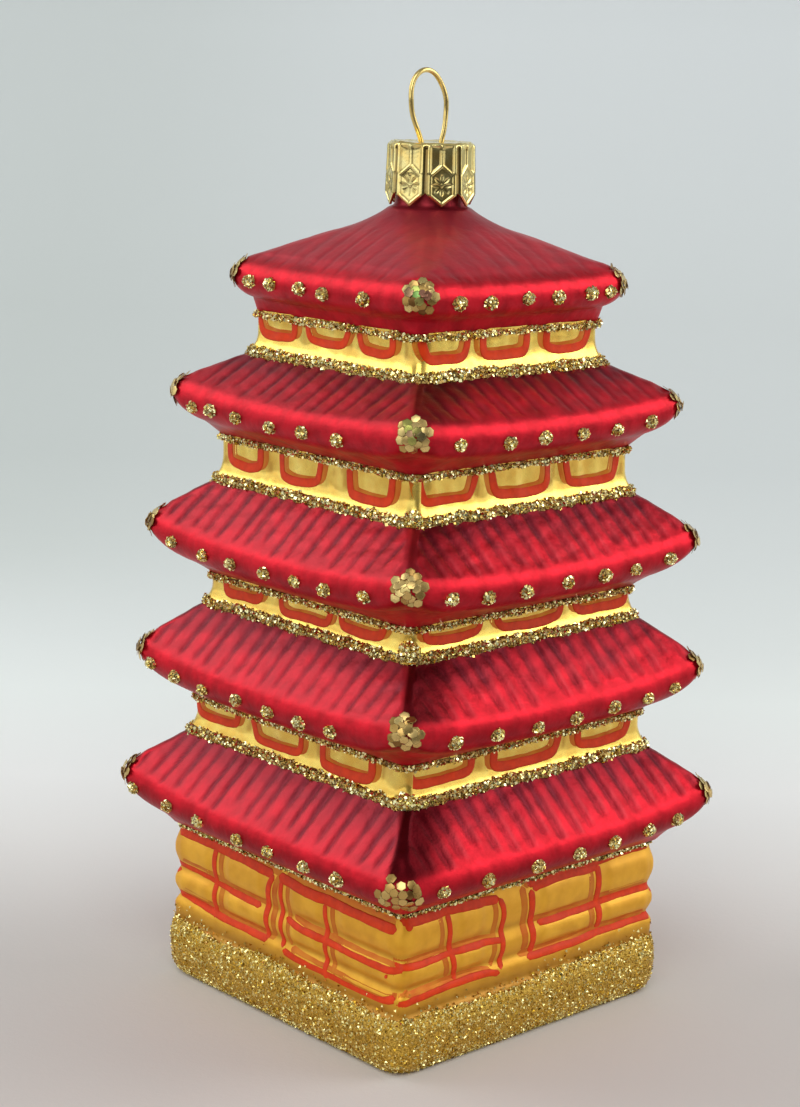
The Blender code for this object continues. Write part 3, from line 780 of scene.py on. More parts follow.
def brush_stroke(level, side, points, width, dice):
    """A closed stroke of enamel along a path on a wall, a low lens in section with round ends, and the
    flat browner painted reflection of it in the silvering, seen a little higher and towards the next
    corner."""
    line = rounded_path(points)
    steps = np.hypot(*np.diff(line, axis=0).T)
    run = np.concatenate([[0], np.cumsum(steps)])
    count = max(8, int(run[-1] / 0.44))
    at = np.linspace(0, run[-1], count)
    line = np.stack([np.interp(at, run, line[:, 0]), np.interp(at, run, line[:, 1])], 1)
    phase = dice.uniform(0, 50)
    line += 0.07 * np.stack([waver(5, at / 5.0 + phase), waver(6, at / 5.0 + phase)], 1)
    ahead = unit(np.gradient(line, axis=0))
    aside = np.stack([-ahead[:, 1], ahead[:, 0]], 1)
    reach = np.minimum(at, run[-1] - at) / (width / 2)
    ends = np.sqrt(1 - (1 - np.clip(reach, 0.02, 1)) ** 2)[:, None]
    broad = width / 2 * ends * (1 + 0.08 * waver(7, at / 3.2 + phase)
                                + 0.03 * waver(8, at / 1.2 + phase))[:, None]

    def strip(shift, top, lift, body):
        spread = np.concatenate([top, [0.6, -0.6]])
        x = line[:, :1] + shift[0] + aside[:, :1] * broad * spread
        z = line[:, 1:] + shift[1] + aside[:, 1:] * broad * spread
        grid = wall_point(level, side, x, z, np.concatenate([lift, [-0.08, -0.08]]) * (0.3 + 0.7 * ends))
        columns = len(spread)
        faces = [grid_faces(count, columns), np.arange(columns)[None],
                 np.arange(columns)[::-1][None] + (count - 1) * columns]
        edge = np.concatenate([body, body[[-1, 0]]])
        return grid, faces, {"body": edge * (0.85 + 0.15 * waver(9, at / 3.0 + phase)[:, None])}

    top = np.array([-1.0, -0.85, -0.45, 0.0, 0.45, 0.85, 1.0])
    stroke = strip((0, 0), top, 0.026 + 0.052 * (1 - top ** 2) ** 0.5, 0.5 + 0.5 * (1 - abs(top) ** 3))
    toward = 1.0 if side in (1, 3) else -1.0
    # The painted reflection of the stroke in the silvering, shifted along the wall and up
    along, up = UPPER_REFLECTION if level else GROUND_REFLECTION
    reflection = strip((along * toward, up), np.array([-1.0, 0.0, 1.0]), np.array([0.012, 0.016, 0.012]),
                 np.array([1.0, 0.8, 1.0]))
    return stroke, reflection


def make_strokes(level, finishes):
    """All the enamel on one storey as one piece."""
    storey = STOREYS[level]
    strokes, reflections = [], []
    for side in range(4):
        source, mirror = seen_side(side)
        dice = np.random.default_rng(STROKE_SEED + level * 4 + side)
        shift = 0.0 if side == source else dice.uniform(-0.5, 0.5)
        if level == 0:
            paths = [(width, line) for width, *line in GROUND_STROKES[source]]
        else:
            head = storey.top - 0.75
            paths = []
            for left, right, sill in WINDOWS[level][source]:
                tilt_left, tilt_right = dice.uniform(-0.9, 0.3), dice.uniform(-0.2, 0.8)
                sag = dice.uniform(-0.15, 0.4)
                paths.append((dice.uniform(1.25, 1.6), [
                    (left + tilt_left, head), (left, sill + 0.6), (left + 0.9, sill - 0.05),
                    ((left + right) / 2, sill - sag), (right - 0.9, sill), (right, sill + 0.7),
                    (right + tilt_right, head)]))
        for width, line in paths:
            line = [(x * mirror + shift * (level > 0), z) for x, z in line]
            stroke, reflection = brush_stroke(level, side, line, width, dice)
            strokes.append(stroke)
            reflections.append(reflection)
    place_in_two(f"enamel_strokes_{level + 1}", strokes, reflections, finishes, "painted_glass")


# ---- Glitter

# A kind of flake: its least and greatest radius, how far it tilts, its corners and how deep it is,
# as a share of its radius
Flake = namedtuple("Flake", "small large tilt corners depth")
EAVE_FLAKE, FOOT_FLAKE = Flake(0.16, 0.30, 0.8, 4, 0.8), Flake(0.18, 0.33, 0.8, 4, 0.8)
BASE_FLAKE, BEAD_FLAKE = Flake(0.15, 0.33, 0.55, 3, 0.9), Flake(0.19, 0.34, 0.55, 4, 0.8)
# A band of glitter: swell of its glue, points along a side and round a corner, how ragged its edges
# are, the number and kind of its flakes, and how low and how high they lie on the glue
Band = namedtuple("Band", "swell steps arc_steps ragged count flake low high")
LOWEST_EAVE_BAND = Band(0.30, 70, 4, 0.10, 3200, EAVE_FLAKE, 0.0, 0.22)
EAVE_BAND = LOWEST_EAVE_BAND._replace(count=2500)
FOOT_BAND = Band(0.50, 84, 5, 0.14, 3200, FOOT_FLAKE, -0.05, 0.32)
# How many flakes lie on the base, stray above it, and lie on a blob and on a bead
BASE_FLAKES, STRAY_FLAKES, BLOB_FLAKES, BEAD_FLAKES = 20500, 2400, 420, 84
# Radius, half height and height of the blobs of glitter on the near corner of the middle storeys
CORNER_BLOBS = {1: (2.1, 1.5, 41.9), 2: (1.9, 2.0, 63.7), 3: (1.7, 1.6, 82.8)}


def chips(spots, normals, flake, dice):
    """Closed glitter chips: a flat polygon on top, tilted at random, and a point below it."""
    count, corners = len(spots), flake.corners
    sizes = dice.uniform(flake.small, flake.large, count)
    facing = unit(normals + flake.tilt * dice.normal(size=(count, 3)))
    side = unit(np.cross(facing, dice.normal(size=(count, 3))))
    other = np.cross(facing, side)
    turns = TURN * np.arange(corners) / corners
    ring = spots[:, None] + sizes[:, None, None] * spokes(turns, side, other)
    tip = spots - facing * (flake.depth * sizes)[:, None]
    points = np.concatenate([ring, tip[:, None]], 1)
    first = np.arange(count)[:, None] * (corners + 1)
    top = first + np.arange(corners)
    under = np.stack([first + np.roll(np.arange(corners), -1), first + np.arange(corners),
                      np.repeat(first + corners, corners, 1)], -1).reshape(-1, 3)
    glint = np.repeat(np.clip(dice.beta(0.85, 0.75, count), 0, 1), corners + 1)
    return points.reshape(-1, 3), [top, under], {"glint": glint}


def scatter(grid, normals, count, dice, edge=1.0):
    """Random places on a closed grid and the normals there; edge above 1 reaches past its edges."""
    rows, columns = grid.shape[:2]
    r = (rows - 1) * (0.5 + (dice.random(count) - 0.5) * edge)
    c = dice.random(count) * columns
    r0, c0 = np.minimum(r.astype(int), rows - 2), c.astype(int)
    c1 = (c0 + 1) % columns
    u, v = (r - r0)[:, None], (c - c0)[:, None]

    def blend(table):
        return (table[r0, c0] * (1 - v) + table[r0, c1] * v) * (1 - u) \
            + (table[r0 + 1, c0] * (1 - v) + table[r0 + 1, c1] * v) * u
    return blend(grid), unit(blend(normals))


def glued(grid):
    """A closed grid of glue as a part of a glitter piece."""
    return grid, [grid_faces(*grid.shape[:2])], {"glint": np.zeros(grid.shape[:2])}


def band_bed(rows, swell, steps, arc_steps, seed, ragged):
    """A low bead of glue over a stack of sections, with wandering edges."""
    grid = glass_grid(rows, steps, arc_steps)[0]
    normal = outward(grid)
    up = unit(np.gradient(grid, axis=0))
    run = np.cumsum(np.linalg.norm(np.roll(grid[0], -1, 0) - grid[0], axis=1))
    share = np.linspace(-1, 1, len(grid))[:, None]
    wander = ragged * waver(seed, run / 2.2) + ragged * 0.6 * waver(seed + 1, run / 0.8)
    widen = ragged * waver(seed + 2, run / 1.7)
    loop = ease(0.0, 4.0, np.minimum(run, run[-1] - run))
    grid = grid + up * ((wander + widen * share) * loop)[..., None]
    high = swell * np.sqrt(np.clip(1 - share ** 2, 0, 1)) - 0.08
    return grid + normal * high[..., None], normal


def foot_rows(level, low, high, count):
    """Sections from the slope below a storey's foot up its flared wall."""
    storey = STOREYS[level]
    below = roof_rows(level - 1)[0][-2]
    rows = []
    for z in np.linspace(storey.foot - low, storey.foot + high, count):
        if z < storey.foot:
            share = (z - below.height) / (storey.foot - below.height)
            half = lerp(below.half, storey.wall + FOOT_FLARE, share)
            rows.append(Row(half, z, HIP_CORNER))
        else:
            rows.append(Row(float(wall_half(level, z)), z,
                            lerp(HIP_CORNER, WALL_CORNER, min(1.0, (z - storey.foot) / 1.8))))
    return rows


def corner_blob(level, dice):
    """A blob of glitter where the foot band was started, at the near corner of a middle storey."""
    radius, high, height = CORNER_BLOBS[level]
    corner = STOREYS[level].wall + FOOT_FLARE * 0.7 - WALL_CORNER * 0.3
    spread = dice.normal(size=(BLOB_FLAKES, 3))
    spread = unit(spread) * dice.random((len(spread), 1)) ** 0.4
    spread = spread[(spread[:, 0] - spread[:, 1]) > -0.3]
    spots = np.array([corner, -corner, height]) + spread * np.array([radius, radius, high]) * 0.85
    return spots, unit(spread + np.array([0.5, -0.5, 0.1]))


def make_band(where, level, rows, band, seed, dice, finishes):
    """One band of glitter over a stack of sections, with a blob at the near corner of some."""
    grid, normal = band_bed(rows, band.swell, band.steps, band.arc_steps, seed, band.ragged)
    spots, facing = scatter(grid, normal, band.count, dice, edge=1.10)
    spots = spots + facing * dice.uniform(band.low, band.high, (len(spots), 1))
    if where == "foot" and level in CORNER_BLOBS:
        extra, away = corner_blob(level, dice)
        spots, facing = np.vstack([spots, extra]), np.vstack([facing, away])
    place_in_two(f"{where}_glitter_{level + 1}", [glued(grid)], [chips(spots, facing, band.flake, dice)],
                 finishes, "gold_glitter", [f"{where}_glitter_band_{level + 1}"])


def make_bands(finishes):
    """The thin bands of glitter under the eaves and the thick ones at the feet of the upper walls."""
    for level, storey in enumerate(STOREYS):
        dice = np.random.default_rng(BAND_SEED + level)
        off_wall = 0.24 if level else 0.12
        rows = [Row(float(wall_half(level, z)) + off_wall, z, WALL_CORNER)
                for z in np.linspace(storey.top - 1.15, storey.top - 0.15, 6)]
        make_band("eave", level, rows, EAVE_BAND if level else LOWEST_EAVE_BAND, level * 11 + 3, dice,
                  finishes)
        if level:
            make_band("foot", level, foot_rows(level, 0.55, 0.85, 7), FOOT_BAND, level * 11 + 5, dice,
                      finishes)


def make_base_glitter(finishes):
    """Fine glitter all over the pillow base, with an uneven upper edge and strays above it."""
    dice = np.random.default_rng(BASE_SEED)
    rows = smooth_rows([*BASE, Row(27.95, 9.6, 2.3), Row(27.8, 10.4, 2.0)], 4)
    grid = glass_grid(rows[2:], 84, 7)[0]
    normal = outward(grid)
    run = np.linspace(0, TURN, grid.shape[1], endpoint=False)
    edge = 9.0 + 0.42 * waver(12, np.cos(run) * 2, np.sin(run) * 2) \
        + 0.12 * waver(13, np.cos(run) * 26, np.sin(run) * 26)
    limit = np.minimum(grid[..., 2], edge[None])
    thick = 0.30 * ease(0.0, 2.4, edge[None] - grid[..., 2]) + 0.04
    grid[..., 2] = limit
    bed = grid + normal * thick[..., None]
    spots, facing = scatter(bed, normal, BASE_FLAKES, dice)
    stray, away = scatter(grid + normal * 0.1, normal, STRAY_FLAKES, dice)
    stray[:, 2] += np.where(stray[:, 2] > 7.5, dice.exponential(0.55, len(stray)), 0)
    high = stray[:, 2] > 7.8
    spots, facing = np.vstack([spots, stray[high]]), np.vstack([facing, away[high]])
    place_in_two("base_glitter", [glued(bed)], [chips(spots + facing * 0.05, facing, BASE_FLAKE, dice)],
                 finishes, "gold_glitter", ["base_glitter_band"])


# Height of the beads of glitter on each eave, from the lowest roof up, and their places along sides 3
# and 0
EAVE_BEADS = (
    (30.2, {3: (-29.4, -20.4, -12.5, -2.6, 4.9, 13.3, 20.8),
            0: (-25.6, -16.6, -6.4, 2.5, 10.2, 18.1, 24.7)}),
    (51.2, {3: (-27, -20.8, -13.8, -5.3, 2.3, 9.6, 16.7), 0: (-22.4, -14.1, -5.6, 2.5, 10.7, 18.4, 24.5)}),
    (71.8, {3: (-23.1, -15.2, -8.4, -0.3, 6.9, 13.5, 22.2), 0: (-23, -15.7, -8, 0.6, 8.6, 15.5, 23.1)}),
    (93.4, {3: (-21.5, -16.9, -10.6, -2.6, 5, 12.8), 0: (-19.7, -9.7, -2.6, 5.4, 12.9, 20.3)}),
    (113.1, {3: (-15.9, -10.9, -4, 1.3, 10.4), 0: (-14.3, -8.1, -0.4, 5.9, 13, 17.1)}),
)


def glitter_bead(spot, axis, dice):
    """A dab of glue on an eave, domed along an axis, and the flakes all over it."""
    size = dice.uniform(1.12, 1.36)
    side_way = unit(np.cross(axis, (0, 0, 1.0)))
    up_way = np.cross(side_way, axis)
    turns = np.linspace(0, TURN, 12, endpoint=False)
    wobble = 1 + 0.16 * waver(int(dice.integers(1e6)), np.cos(turns), np.sin(turns))
    rim = spokes(turns, side_way, up_way * 0.8)
    rings = [spot + size * (rim * (wobble * reach)[:, None] + axis * high)
             for reach, high in ((1.0, -0.15), (0.84, 0.30), (0.48, 0.52), (0.02, 0.60))]
    ball = unit(dice.normal(size=(BEAD_FLAKES, 3)))
    ball = ball * np.sign((ball @ axis)[:, None] + 0.12)
    spots = spot + ball * size * 0.95 - axis * 0.15 * size
    for way in (axis, up_way):
        spots -= way * ((spots - spot) @ way * 0.2)[:, None]
    return glued(np.array(rings)), chips(spots, ball, BEAD_FLAKE, dice)


def make_beads(roofs, finishes):
    """The beads of glitter along each eave, one piece for each roof."""
    for level, (height, places) in enumerate(EAVE_BEADS):
        dice = np.random.default_rng(BEAD_SEED + level)
        storey, beads = STOREYS[level], []
        for side in range(4):
            source, mirror = seen_side(side)
            for along in places[source]:
                along = along * mirror + (dice.uniform(-1.0, 1.0) if side != source else 0.0)
                lift = storey.lift * min(1.0, abs(along) / storey.eave) ** LIFT_POWER
                beside_near = side == 3 and along > 0 or side == 0 and along < 0
                start = Vector((*turned(60, along, side), height))
                start.z += lift * (storey.near if beside_near else 1) + dice.uniform(-0.25, 0.25)
                spot, normal, _, _ = roofs[level].ray_cast(start, Vector((*turned(-1, 0, side), 0)))
                if spot is not None:
                    beads.append(glitter_bead(np.array(spot), np.array(normal), dice))
        glue, flakes = zip(*beads)
        place_in_two(f"eave_beads_{level + 1}", glue, flakes, finishes, "gold_glitter")


# ---- Sequins

# Places of the loose sequins on the near corner of the lowest roof, across and up from its middle
LOOSE_SEQUINS = ((1.5, 2.5), (-1.8, 1.7), (-0.2, 1.5), (-2.7, 0.4), (-1.6, 0.2), (-3.1, -0.9),
                 (-1.5, -1.2), (-0.5, -0.9), (0.6, -0.8), (2.2, 0.0), (3.5, 0.0), (2.9, -0.9),
                 (2.2, -1.4), (0.6, -2.0), (-0.9, -2.2), (-2.0, -2.2), (1.6, 1.1), (-0.5, 0.2), (0.9, 0.4),
                 (-2.5, 1.1))
# How many sequins a cluster has, how far it reaches across and up, and how far it faces upwards
CLUSTER_COUNT, CLUSTER_ACROSS, CLUSTER_UP, CLUSTER_PITCH = 21, 2.35, 2.3, math.radians(12.0)
GOLDEN_TURN = 2.39996
SEQUIN_RADII, SEQUIN_SHEET = (0.72, 0.84), 0.07


def sequin(centre, normal, radius, turn):
    """A closed hexagonal disc with slightly bevelled edges."""
    side = unit(np.cross(normal, (0.3, 0.2, 1.0)))
    other = np.cross(normal, side)
    rim = spokes(TURN * np.arange(6) / 6 + turn, side, other)
    rings = [centre + rim * radius * reach + normal * high * SEQUIN_SHEET
             for reach, high in ((0.86, -0.5), (1.0, -0.2), (1.0, 0.2), (0.86, 0.5))]
    return np.array(rings), [grid_faces(4, 6), np.arange(6)[::-1][None], np.arange(6)[None] + 18]


def cluster_spots(dice):
    """Places in a round cluster of sequins, across and up, and how near its rim each one is."""
    spots = []
    for step in range(CLUSTER_COUNT):
        reach = math.sqrt((step + 0.5) / CLUSTER_COUNT)
        angle = step * GOLDEN_TURN + dice.uniform(-0.25, 0.25)
        spots.append((CLUSTER_ACROSS * reach * math.cos(angle), CLUSTER_UP * reach * math.sin(angle), reach))
    return spots


def make_cluster(level, corner, roof, film):
    """The overlapping sequins on one eave corner; on the near one of the lowest roof they are loose."""
    dice = np.random.default_rng(SEQUIN_SEED + level * 4 + corner)
    storey, at_near = STOREYS[level], corner == NEAR_CORNER
    loose = level == 0 and at_near
    turn = math.pi / 2 * (corner + 0.5)
    diagonal = np.array([math.cos(turn), math.sin(turn), 0.0])
    outward_way = diagonal * math.cos(CLUSTER_PITCH) + np.array([0, 0, math.sin(CLUSTER_PITCH)])
    height = storey.middle + storey.lift + 0.9
    if at_near:
        height = storey.middle + storey.lift * storey.near + 0.6
    centre = np.array(roof.ray_cast(Vector((*diagonal[:2] * 90, height)), Vector(-diagonal))[0])
    side_way = unit(np.cross(outward_way, (0, 0, 1.0)))
    up_way = np.cross(side_way, outward_way)
    spots = [(across * 0.88, upward * 0.92 - 0.5, 1.0) for across, upward in LOOSE_SEQUINS]
    if not loose:
        spots = cluster_spots(dice)
    parts = []
    for step, (across, upward, reach) in enumerate(spots):
        start = centre + side_way * across + up_way * upward + outward_way * 10
        spot, normal, _, _ = roof.ray_cast(Vector(start), Vector(-outward_way))
        if spot is None:
            continue
        lean = 0.10 if loose else 0.14 if at_near else 0.09
        facing = unit(np.array(normal) * 0.85 + outward_way * 0.35)
        facing = unit(facing + lean * dice.normal(size=3))
        layer = 0.12 + 0.06 * (step % 4) if loose else 0.10 + 0.28 * (1 - reach) + 0.10 * (step % 3)
        spot = np.array(spot) + unit(np.array(normal) + outward_way) * layer
        glint = dice.uniform(0.18, 0.72) if dice.random() < 0.86 else dice.random()
        if not at_near:
            glint = dice.choice((0.15, 0.42, 0.58, 0.68))
        elif level > 2 and reach < 0.5:
            glint = dice.uniform(0.80, 1.0)
        grid, faces = sequin(spot, facing, dice.uniform(*SEQUIN_RADII), dice.uniform(0, 1.05))
        # Painted shade on each sequin's rim and underside edge, strongest on the near corner
        rim = 1.0 if at_near else 0.3
        cut = np.repeat([[rim * 0.3], [rim], [rim], [0.0]], 6, 1)
        parts.append((grid, faces, {"glint": np.full(grid.shape[:2], glint), "cut": cut}))
    points, faces, values = joined(parts)
    name = f"sequins_{level + 1}_{corner + 1}"
    mesh = make_mesh(name, points, faces, values, smooth=False)
    place(mesh, [film], "gold_sequins", [f"corner_{name}"])


# ---- Cap and hanger

CAP_TURN = math.radians(18.2)
CAP_TABS, CAP_SHEET = 8, 0.32
TAB_TIP, TAB_NOTCH, CAP_RIM = 125.4, 127.45, 134.75
# Radius and height of the rings of the cap's top, from its ragged rim to its middle
CAP_TOP_RINGS = ((6.05, 135.0), (5.7, 135.0), (5.3, 134.86), (4.4, 134.83), (3.2, 134.84), (2.7, 134.84),
                 (2.2, 134.84), (1.7, 134.85), (1.2, 134.85), (0.05, 134.86))
RIM_EDGE, CAP_INSIDE = 5.5, 134.5
WIRE_RADIUS, WIRE_OFFSET, HOLE_RADIUS = 0.4, 2.05, 0.62
# Pressed lines on the right half of a panel: the pointed frame, the stem above it and a side line
CAP_LINES = ((1.88, 1.85, 1.88, 4.7), (1.88, 4.7, 0.0, 6.2), (1.88, 1.85, 0.0, 0.45),
             (0.0, 6.2, 0.0, 9.4), (2.12, 5.1, 2.12, 9.3))
PANEL_HALF, FLOWER_HEIGHT, PETALS = 2.6, 3.25, 8


def cap_relief(across, height):
    """The pressed pattern of one panel: across from -1 to 1, height in millimetres from the tip up.
    Gives how far the sheet stands out and how dark the painted shade is beside the pressed lines, in
    the slots and in the petals."""
    x, z = abs(across) * PANEL_HALF, height
    nearest = np.full(x.shape, 9.0)
    for x0, z0, x1, z1 in CAP_LINES:
        dx, dz = x1 - x0, z1 - z0
        share = np.clip(((x - x0) * dx + (z - z0) * dz) / (dx * dx + dz * dz), 0, 1)
        nearest = np.minimum(nearest, np.hypot(x - x0 - share * dx, z - z0 - share * dz))
    raised = np.exp(-(nearest / 0.15) ** 2)
    beside = np.exp(-((nearest - 0.32) / 0.12) ** 2)
    slot = ease(0.22, 0.40, x) * ease(1.92, 1.74, x) * ease(6.40 - 0.80 * x, 6.70 - 0.80 * x, z) \
        * ease(9.2, 9.0, z)
    away, polar = np.hypot(x, z - FLOWER_HEIGHT), np.arctan2(z - FLOWER_HEIGHT, x)
    bend = polar - np.round(polar / (TURN / PETALS)) * TURN / PETALS
    along, aside = away * np.cos(bend), away * np.sin(bend)
    broad = 0.06 + 0.19 * np.sin(math.pi * np.clip((along - 0.2) / 1.45, 0, 1))
    petal = np.exp(-(aside / broad) ** 4) * ease(0.16, 0.34, along) * ease(1.65, 1.45, along)
    field = ease(1.95, 1.60, away)
    rise = 0.15 * raised - 0.13 * slot - 0.13 * petal - 0.03 * field
    # Painted shade beside the raised lines, in the slots and in the petals
    dark = 0.85 * beside * (1 - raised) + 0.15 * slot + 0.62 * petal
    return rise, np.clip(dark, 0, 1)


def make_cap(finish):
    """The pressed cap: eight tabs with a flower in a pointed frame under two slots, and a flat top
    with the two holes of the hanger."""
    levels, panel = 62, 30
    outer, pressed = [], []
    share = (np.arange(panel) / (panel - 1) - 0.5) * 2
    side_fold = ease(0.86, 0.965, abs(share))
    turn = share * math.pi / CAP_TABS * 0.985
    for v in np.linspace(0, 1, levels):
        z = lerp(TAB_NOTCH - (TAB_NOTCH - TAB_TIP) * (1 - abs(share)) ** 0.95, CAP_RIM, v)
        apothem = lerp(6.5, 6.28, ease(0.0, 0.9, v)) - 0.10 * (1 - v) * (1 - abs(share))
        flat = lerp(apothem / np.cos(turn), apothem * 1.035, ease(0.9, 1.0, v) * 0.6)
        rise, line = cap_relief(share, z - TAB_TIP)
        fold = 0.34 * side_fold * ease(1.0, 0.9, v)
        radius = flat + rise * ease(0.99, 0.95, v) - fold - 0.16 * ease(0.97, 1.0, v) ** 2
        angles = [CAP_TURN + TURN * tab / CAP_TABS + turn for tab in range(CAP_TABS)]
        outer.append(np.concatenate([np.stack([radius * np.cos(angle), radius * np.sin(angle), z], -1)
                                     for angle in angles]))
        # Painted shade in the pressed lines and in the folds between the tabs
        dark = np.clip(line * ease(0.99, 0.95, v) + side_fold * ease(1.0, 0.93, v), 0, 1)
        pressed.append(np.tile(dark, CAP_TABS))
    outer, pressed = np.array(outer), np.array(pressed)
    angle = np.arctan2(outer[-1, :, 1], outer[-1, :, 0])
    cos, sin = np.cos(angle), np.sin(angle)
    tops = []
    for radius, z in CAP_TOP_RINGS:
        ragged = 0.07 * waver(31, cos * 4, sin * 4) if radius > RIM_EDGE else 0.0
        tops.append(np.stack([(radius + ragged) * cos, (radius + ragged) * sin, z + ragged + 0 * cos], -1))
    tops = np.array(tops)
    # Painted shade in the two holes of the hanger
    holes = np.exp(-(np.hypot(tops[..., 0], abs(tops[..., 1]) - WIRE_OFFSET) / HOLE_RADIUS) ** 4)
    inner = outer.copy()
    length = np.hypot(inner[..., 0], inner[..., 1])
    inner[..., :2] *= ((length - CAP_SHEET) / length)[..., None]
    inner[-1, :, 2] = CAP_INSIDE
    # Painted shade inside the cap
    dark = np.concatenate([pressed[::-1] * 0 + 0.4, pressed, holes])
    mesh = make_mesh("pressed_cap", np.concatenate([inner[::-1], outer, tops]), None, {"pressed": dark})
    place(mesh, [finish], "bright_brass", ["crown_cap"], body="cap")


def tube(route, radius, sides=12):
    """A closed round bar along a route of points."""
    route = np.array(route, float)
    ahead = unit(np.gradient(route, axis=0))
    across = np.tile([1.0, 0.0, 0.0], (len(route), 1))
    turns = np.linspace(0, TURN, sides, endpoint=False)
    grid = route[:, None] + radius * spokes(turns, across, np.cross(ahead, across))
    faces = [grid_faces(len(route), sides)[:, ::-1], np.arange(sides)[None],
             np.arange(sides)[::-1][None] + (len(route) - 1) * sides]
    return grid, faces


# The wire's height and half width: the ends and the waist of its legs, where it passes the cap's top,
# and the height and half width of the loop above that
LEG_END, LEG_WAIST, WIRE_PASSES = (8.8, 112.6), (3.8, 126.5), 134.85
LOOP_FOOT, LOOP_HALF, LOOP_WIDEST, LOOP_CROWN, LOOP_LEAN = 135, 3.6, 5.8, 4.8, 1.4


def make_hanger(finish):
    """The brass wire: two sprung legs inside the glass and the loop above the cap."""
    half = [LEG_END, LEG_WAIST]
    waist, waist_height = LEG_WAIST
    for share in np.linspace(0, 1, 9)[1:]:
        bend = (1 + math.cos(math.pi * share)) / 2
        half.append((lerp(WIRE_OFFSET, waist, lerp(1 - share, bend, 0.5)),
                     lerp(waist_height, WIRE_PASSES, share)))
    for share in np.linspace(0, 1, 11)[1:]:
        half.append((lerp(WIRE_OFFSET, LOOP_HALF, math.sin(math.pi / 2 * share)),
                     LOOP_FOOT + LOOP_WIDEST * share))
    for angle in np.linspace(0, math.pi / 2, 17)[1:]:
        half.append((LOOP_HALF * math.cos(angle), LOOP_FOOT + LOOP_WIDEST + LOOP_CROWN * math.sin(angle)))
    route = half + [(-y, z) for y, z in reversed(half[:-1])]
    route = [(0.06 * math.sin(z * 1.3),
              y - LOOP_LEAN * max(0.0, z - LOOP_FOOT) / (LOOP_WIDEST + LOOP_CROWN), z) for y, z in route]
    mesh = make_mesh("brass_hanger", *tube(route, WIRE_RADIUS))
    place(mesh, [finish], "bright_brass", ["hanger_wire"], body="cap")


# ---- Studio


# How far along its ramp of painted light and shade the sheet is, by the angle in degrees at which it
# is looked down on from the photograph's viewpoint, which is this far in front of the ornament's axis and
# this high
SHEET_TONES = ((-26.0, 0.0), (-22.2, 0.154), (-19.3, 0.308), (-17.7, 0.41), (-15.7, 0.564),
               (-14.1, 0.667), (-12.1, 0.74), (-9.8, 0.80), (-6.2, 0.90), (0.5, 1.0))
VIEW_REACH, VIEW_HEIGHT = 364, 148.4
# Level directions from the ornament towards that viewpoint and to the right of it
TO_FRONT, TO_RIGHT = np.array([0.7335, -0.6797]), np.array([0.6797, 0.7335])
# The sheet starts to rise this far behind the ornament, rises by this much over this run, and is
# creased this far behind it, from where it rises steeply
RISE_START, RISE, RISE_RUN, CREASE, STEEP = 120, 160, 500, 680, 2.4


def make_studio(finish):
    """A pale sheet that lies under the ornament and rises behind it."""
    run = np.concatenate([np.linspace(1500, 100, 29), np.linspace(80, -CREASE, 77), [-720, -800, -900]])
    spread = np.concatenate([np.linspace(-1600, -250, 12), np.linspace(-200, 200, 17),
                             np.linspace(250, 1600, 12)])
    rows = []
    for reach in run:
        rise = RISE * max(0.0, (min(-reach, CREASE) - RISE_START) / RISE_RUN) ** 1.5 \
            + max(0.0, -reach - CREASE) * STEEP
        rows.append([(*(TO_FRONT * reach + TO_RIGHT * across), rise) for across in spread])
    grid = np.array(rows)
    below = np.degrees(np.arctan2(VIEW_HEIGHT - grid[:, 0, 2], np.maximum(VIEW_REACH - run, 1.0)))
    # Painted light and shade along the sheet, by the angle at which it is seen
    far = np.repeat(np.interp(-below, *zip(*SHEET_TONES)), grid.shape[1])
    # A dark patch in front, out of sight, painted for the glass to reflect as shade
    bench = np.repeat(ease(190, 330, run), grid.shape[1])
    # Painted shade on the upper left of the sheet
    dim = ease(14.7, 11.5, below)[:, None] * ease(10, -130, spread)
    mesh = make_mesh("studio_sheet", grid, [grid_faces(*grid.shape[:2], closed=False)],
                     {"far": far, "bench": bench, "dim": dim})
    sheet = add_object("studio_sheet", mesh)
    mesh.materials.append(finish)


def direction(azimuth, elevation):
    """The way from the ornament towards an azimuth and an elevation in degrees."""
    a, e = math.radians(azimuth), math.radians(elevation)
    return Vector((math.sin(a) * math.cos(e), -math.cos(a) * math.cos(e), math.sin(e)))


# Azimuth and elevation in degrees, distance and size in metres, radiance and colour of each light
LIGHTS = {
    "left_softbox": (-57, 34, 0.62, 0.38, 2.05, (0.97, 0.99, 1.0)),
    "right_softbox": (142, 29, 0.62, 0.36, 2.75, (1.0, 0.99, 0.98)),
    "camera_softbox": (44, 44, 1.1, 0.75, 2.3, (1, 1, 1)),
}
LIT_HEIGHT = 0.07


def add_lights():
    """A soft square light at each side and one in front, all aimed at the ornament."""
    for name, (azimuth, elevation, distance, size, radiance, colour) in LIGHTS.items():
        lamp = bpy.data.lights.new(name, "AREA")
        lamp.shape, lamp.size = "SQUARE", size
        lamp.energy, lamp.color = radiance * math.pi * size * size, colour
        item = add_object(name, lamp)
        away = direction(azimuth, elevation)
        item.location = Vector((0, 0, LIT_HEIGHT)) + away * distance
        item.rotation_mode = "QUATERNION"
        item.rotation_quaternion = away.to_track_quat("Z", "Y")


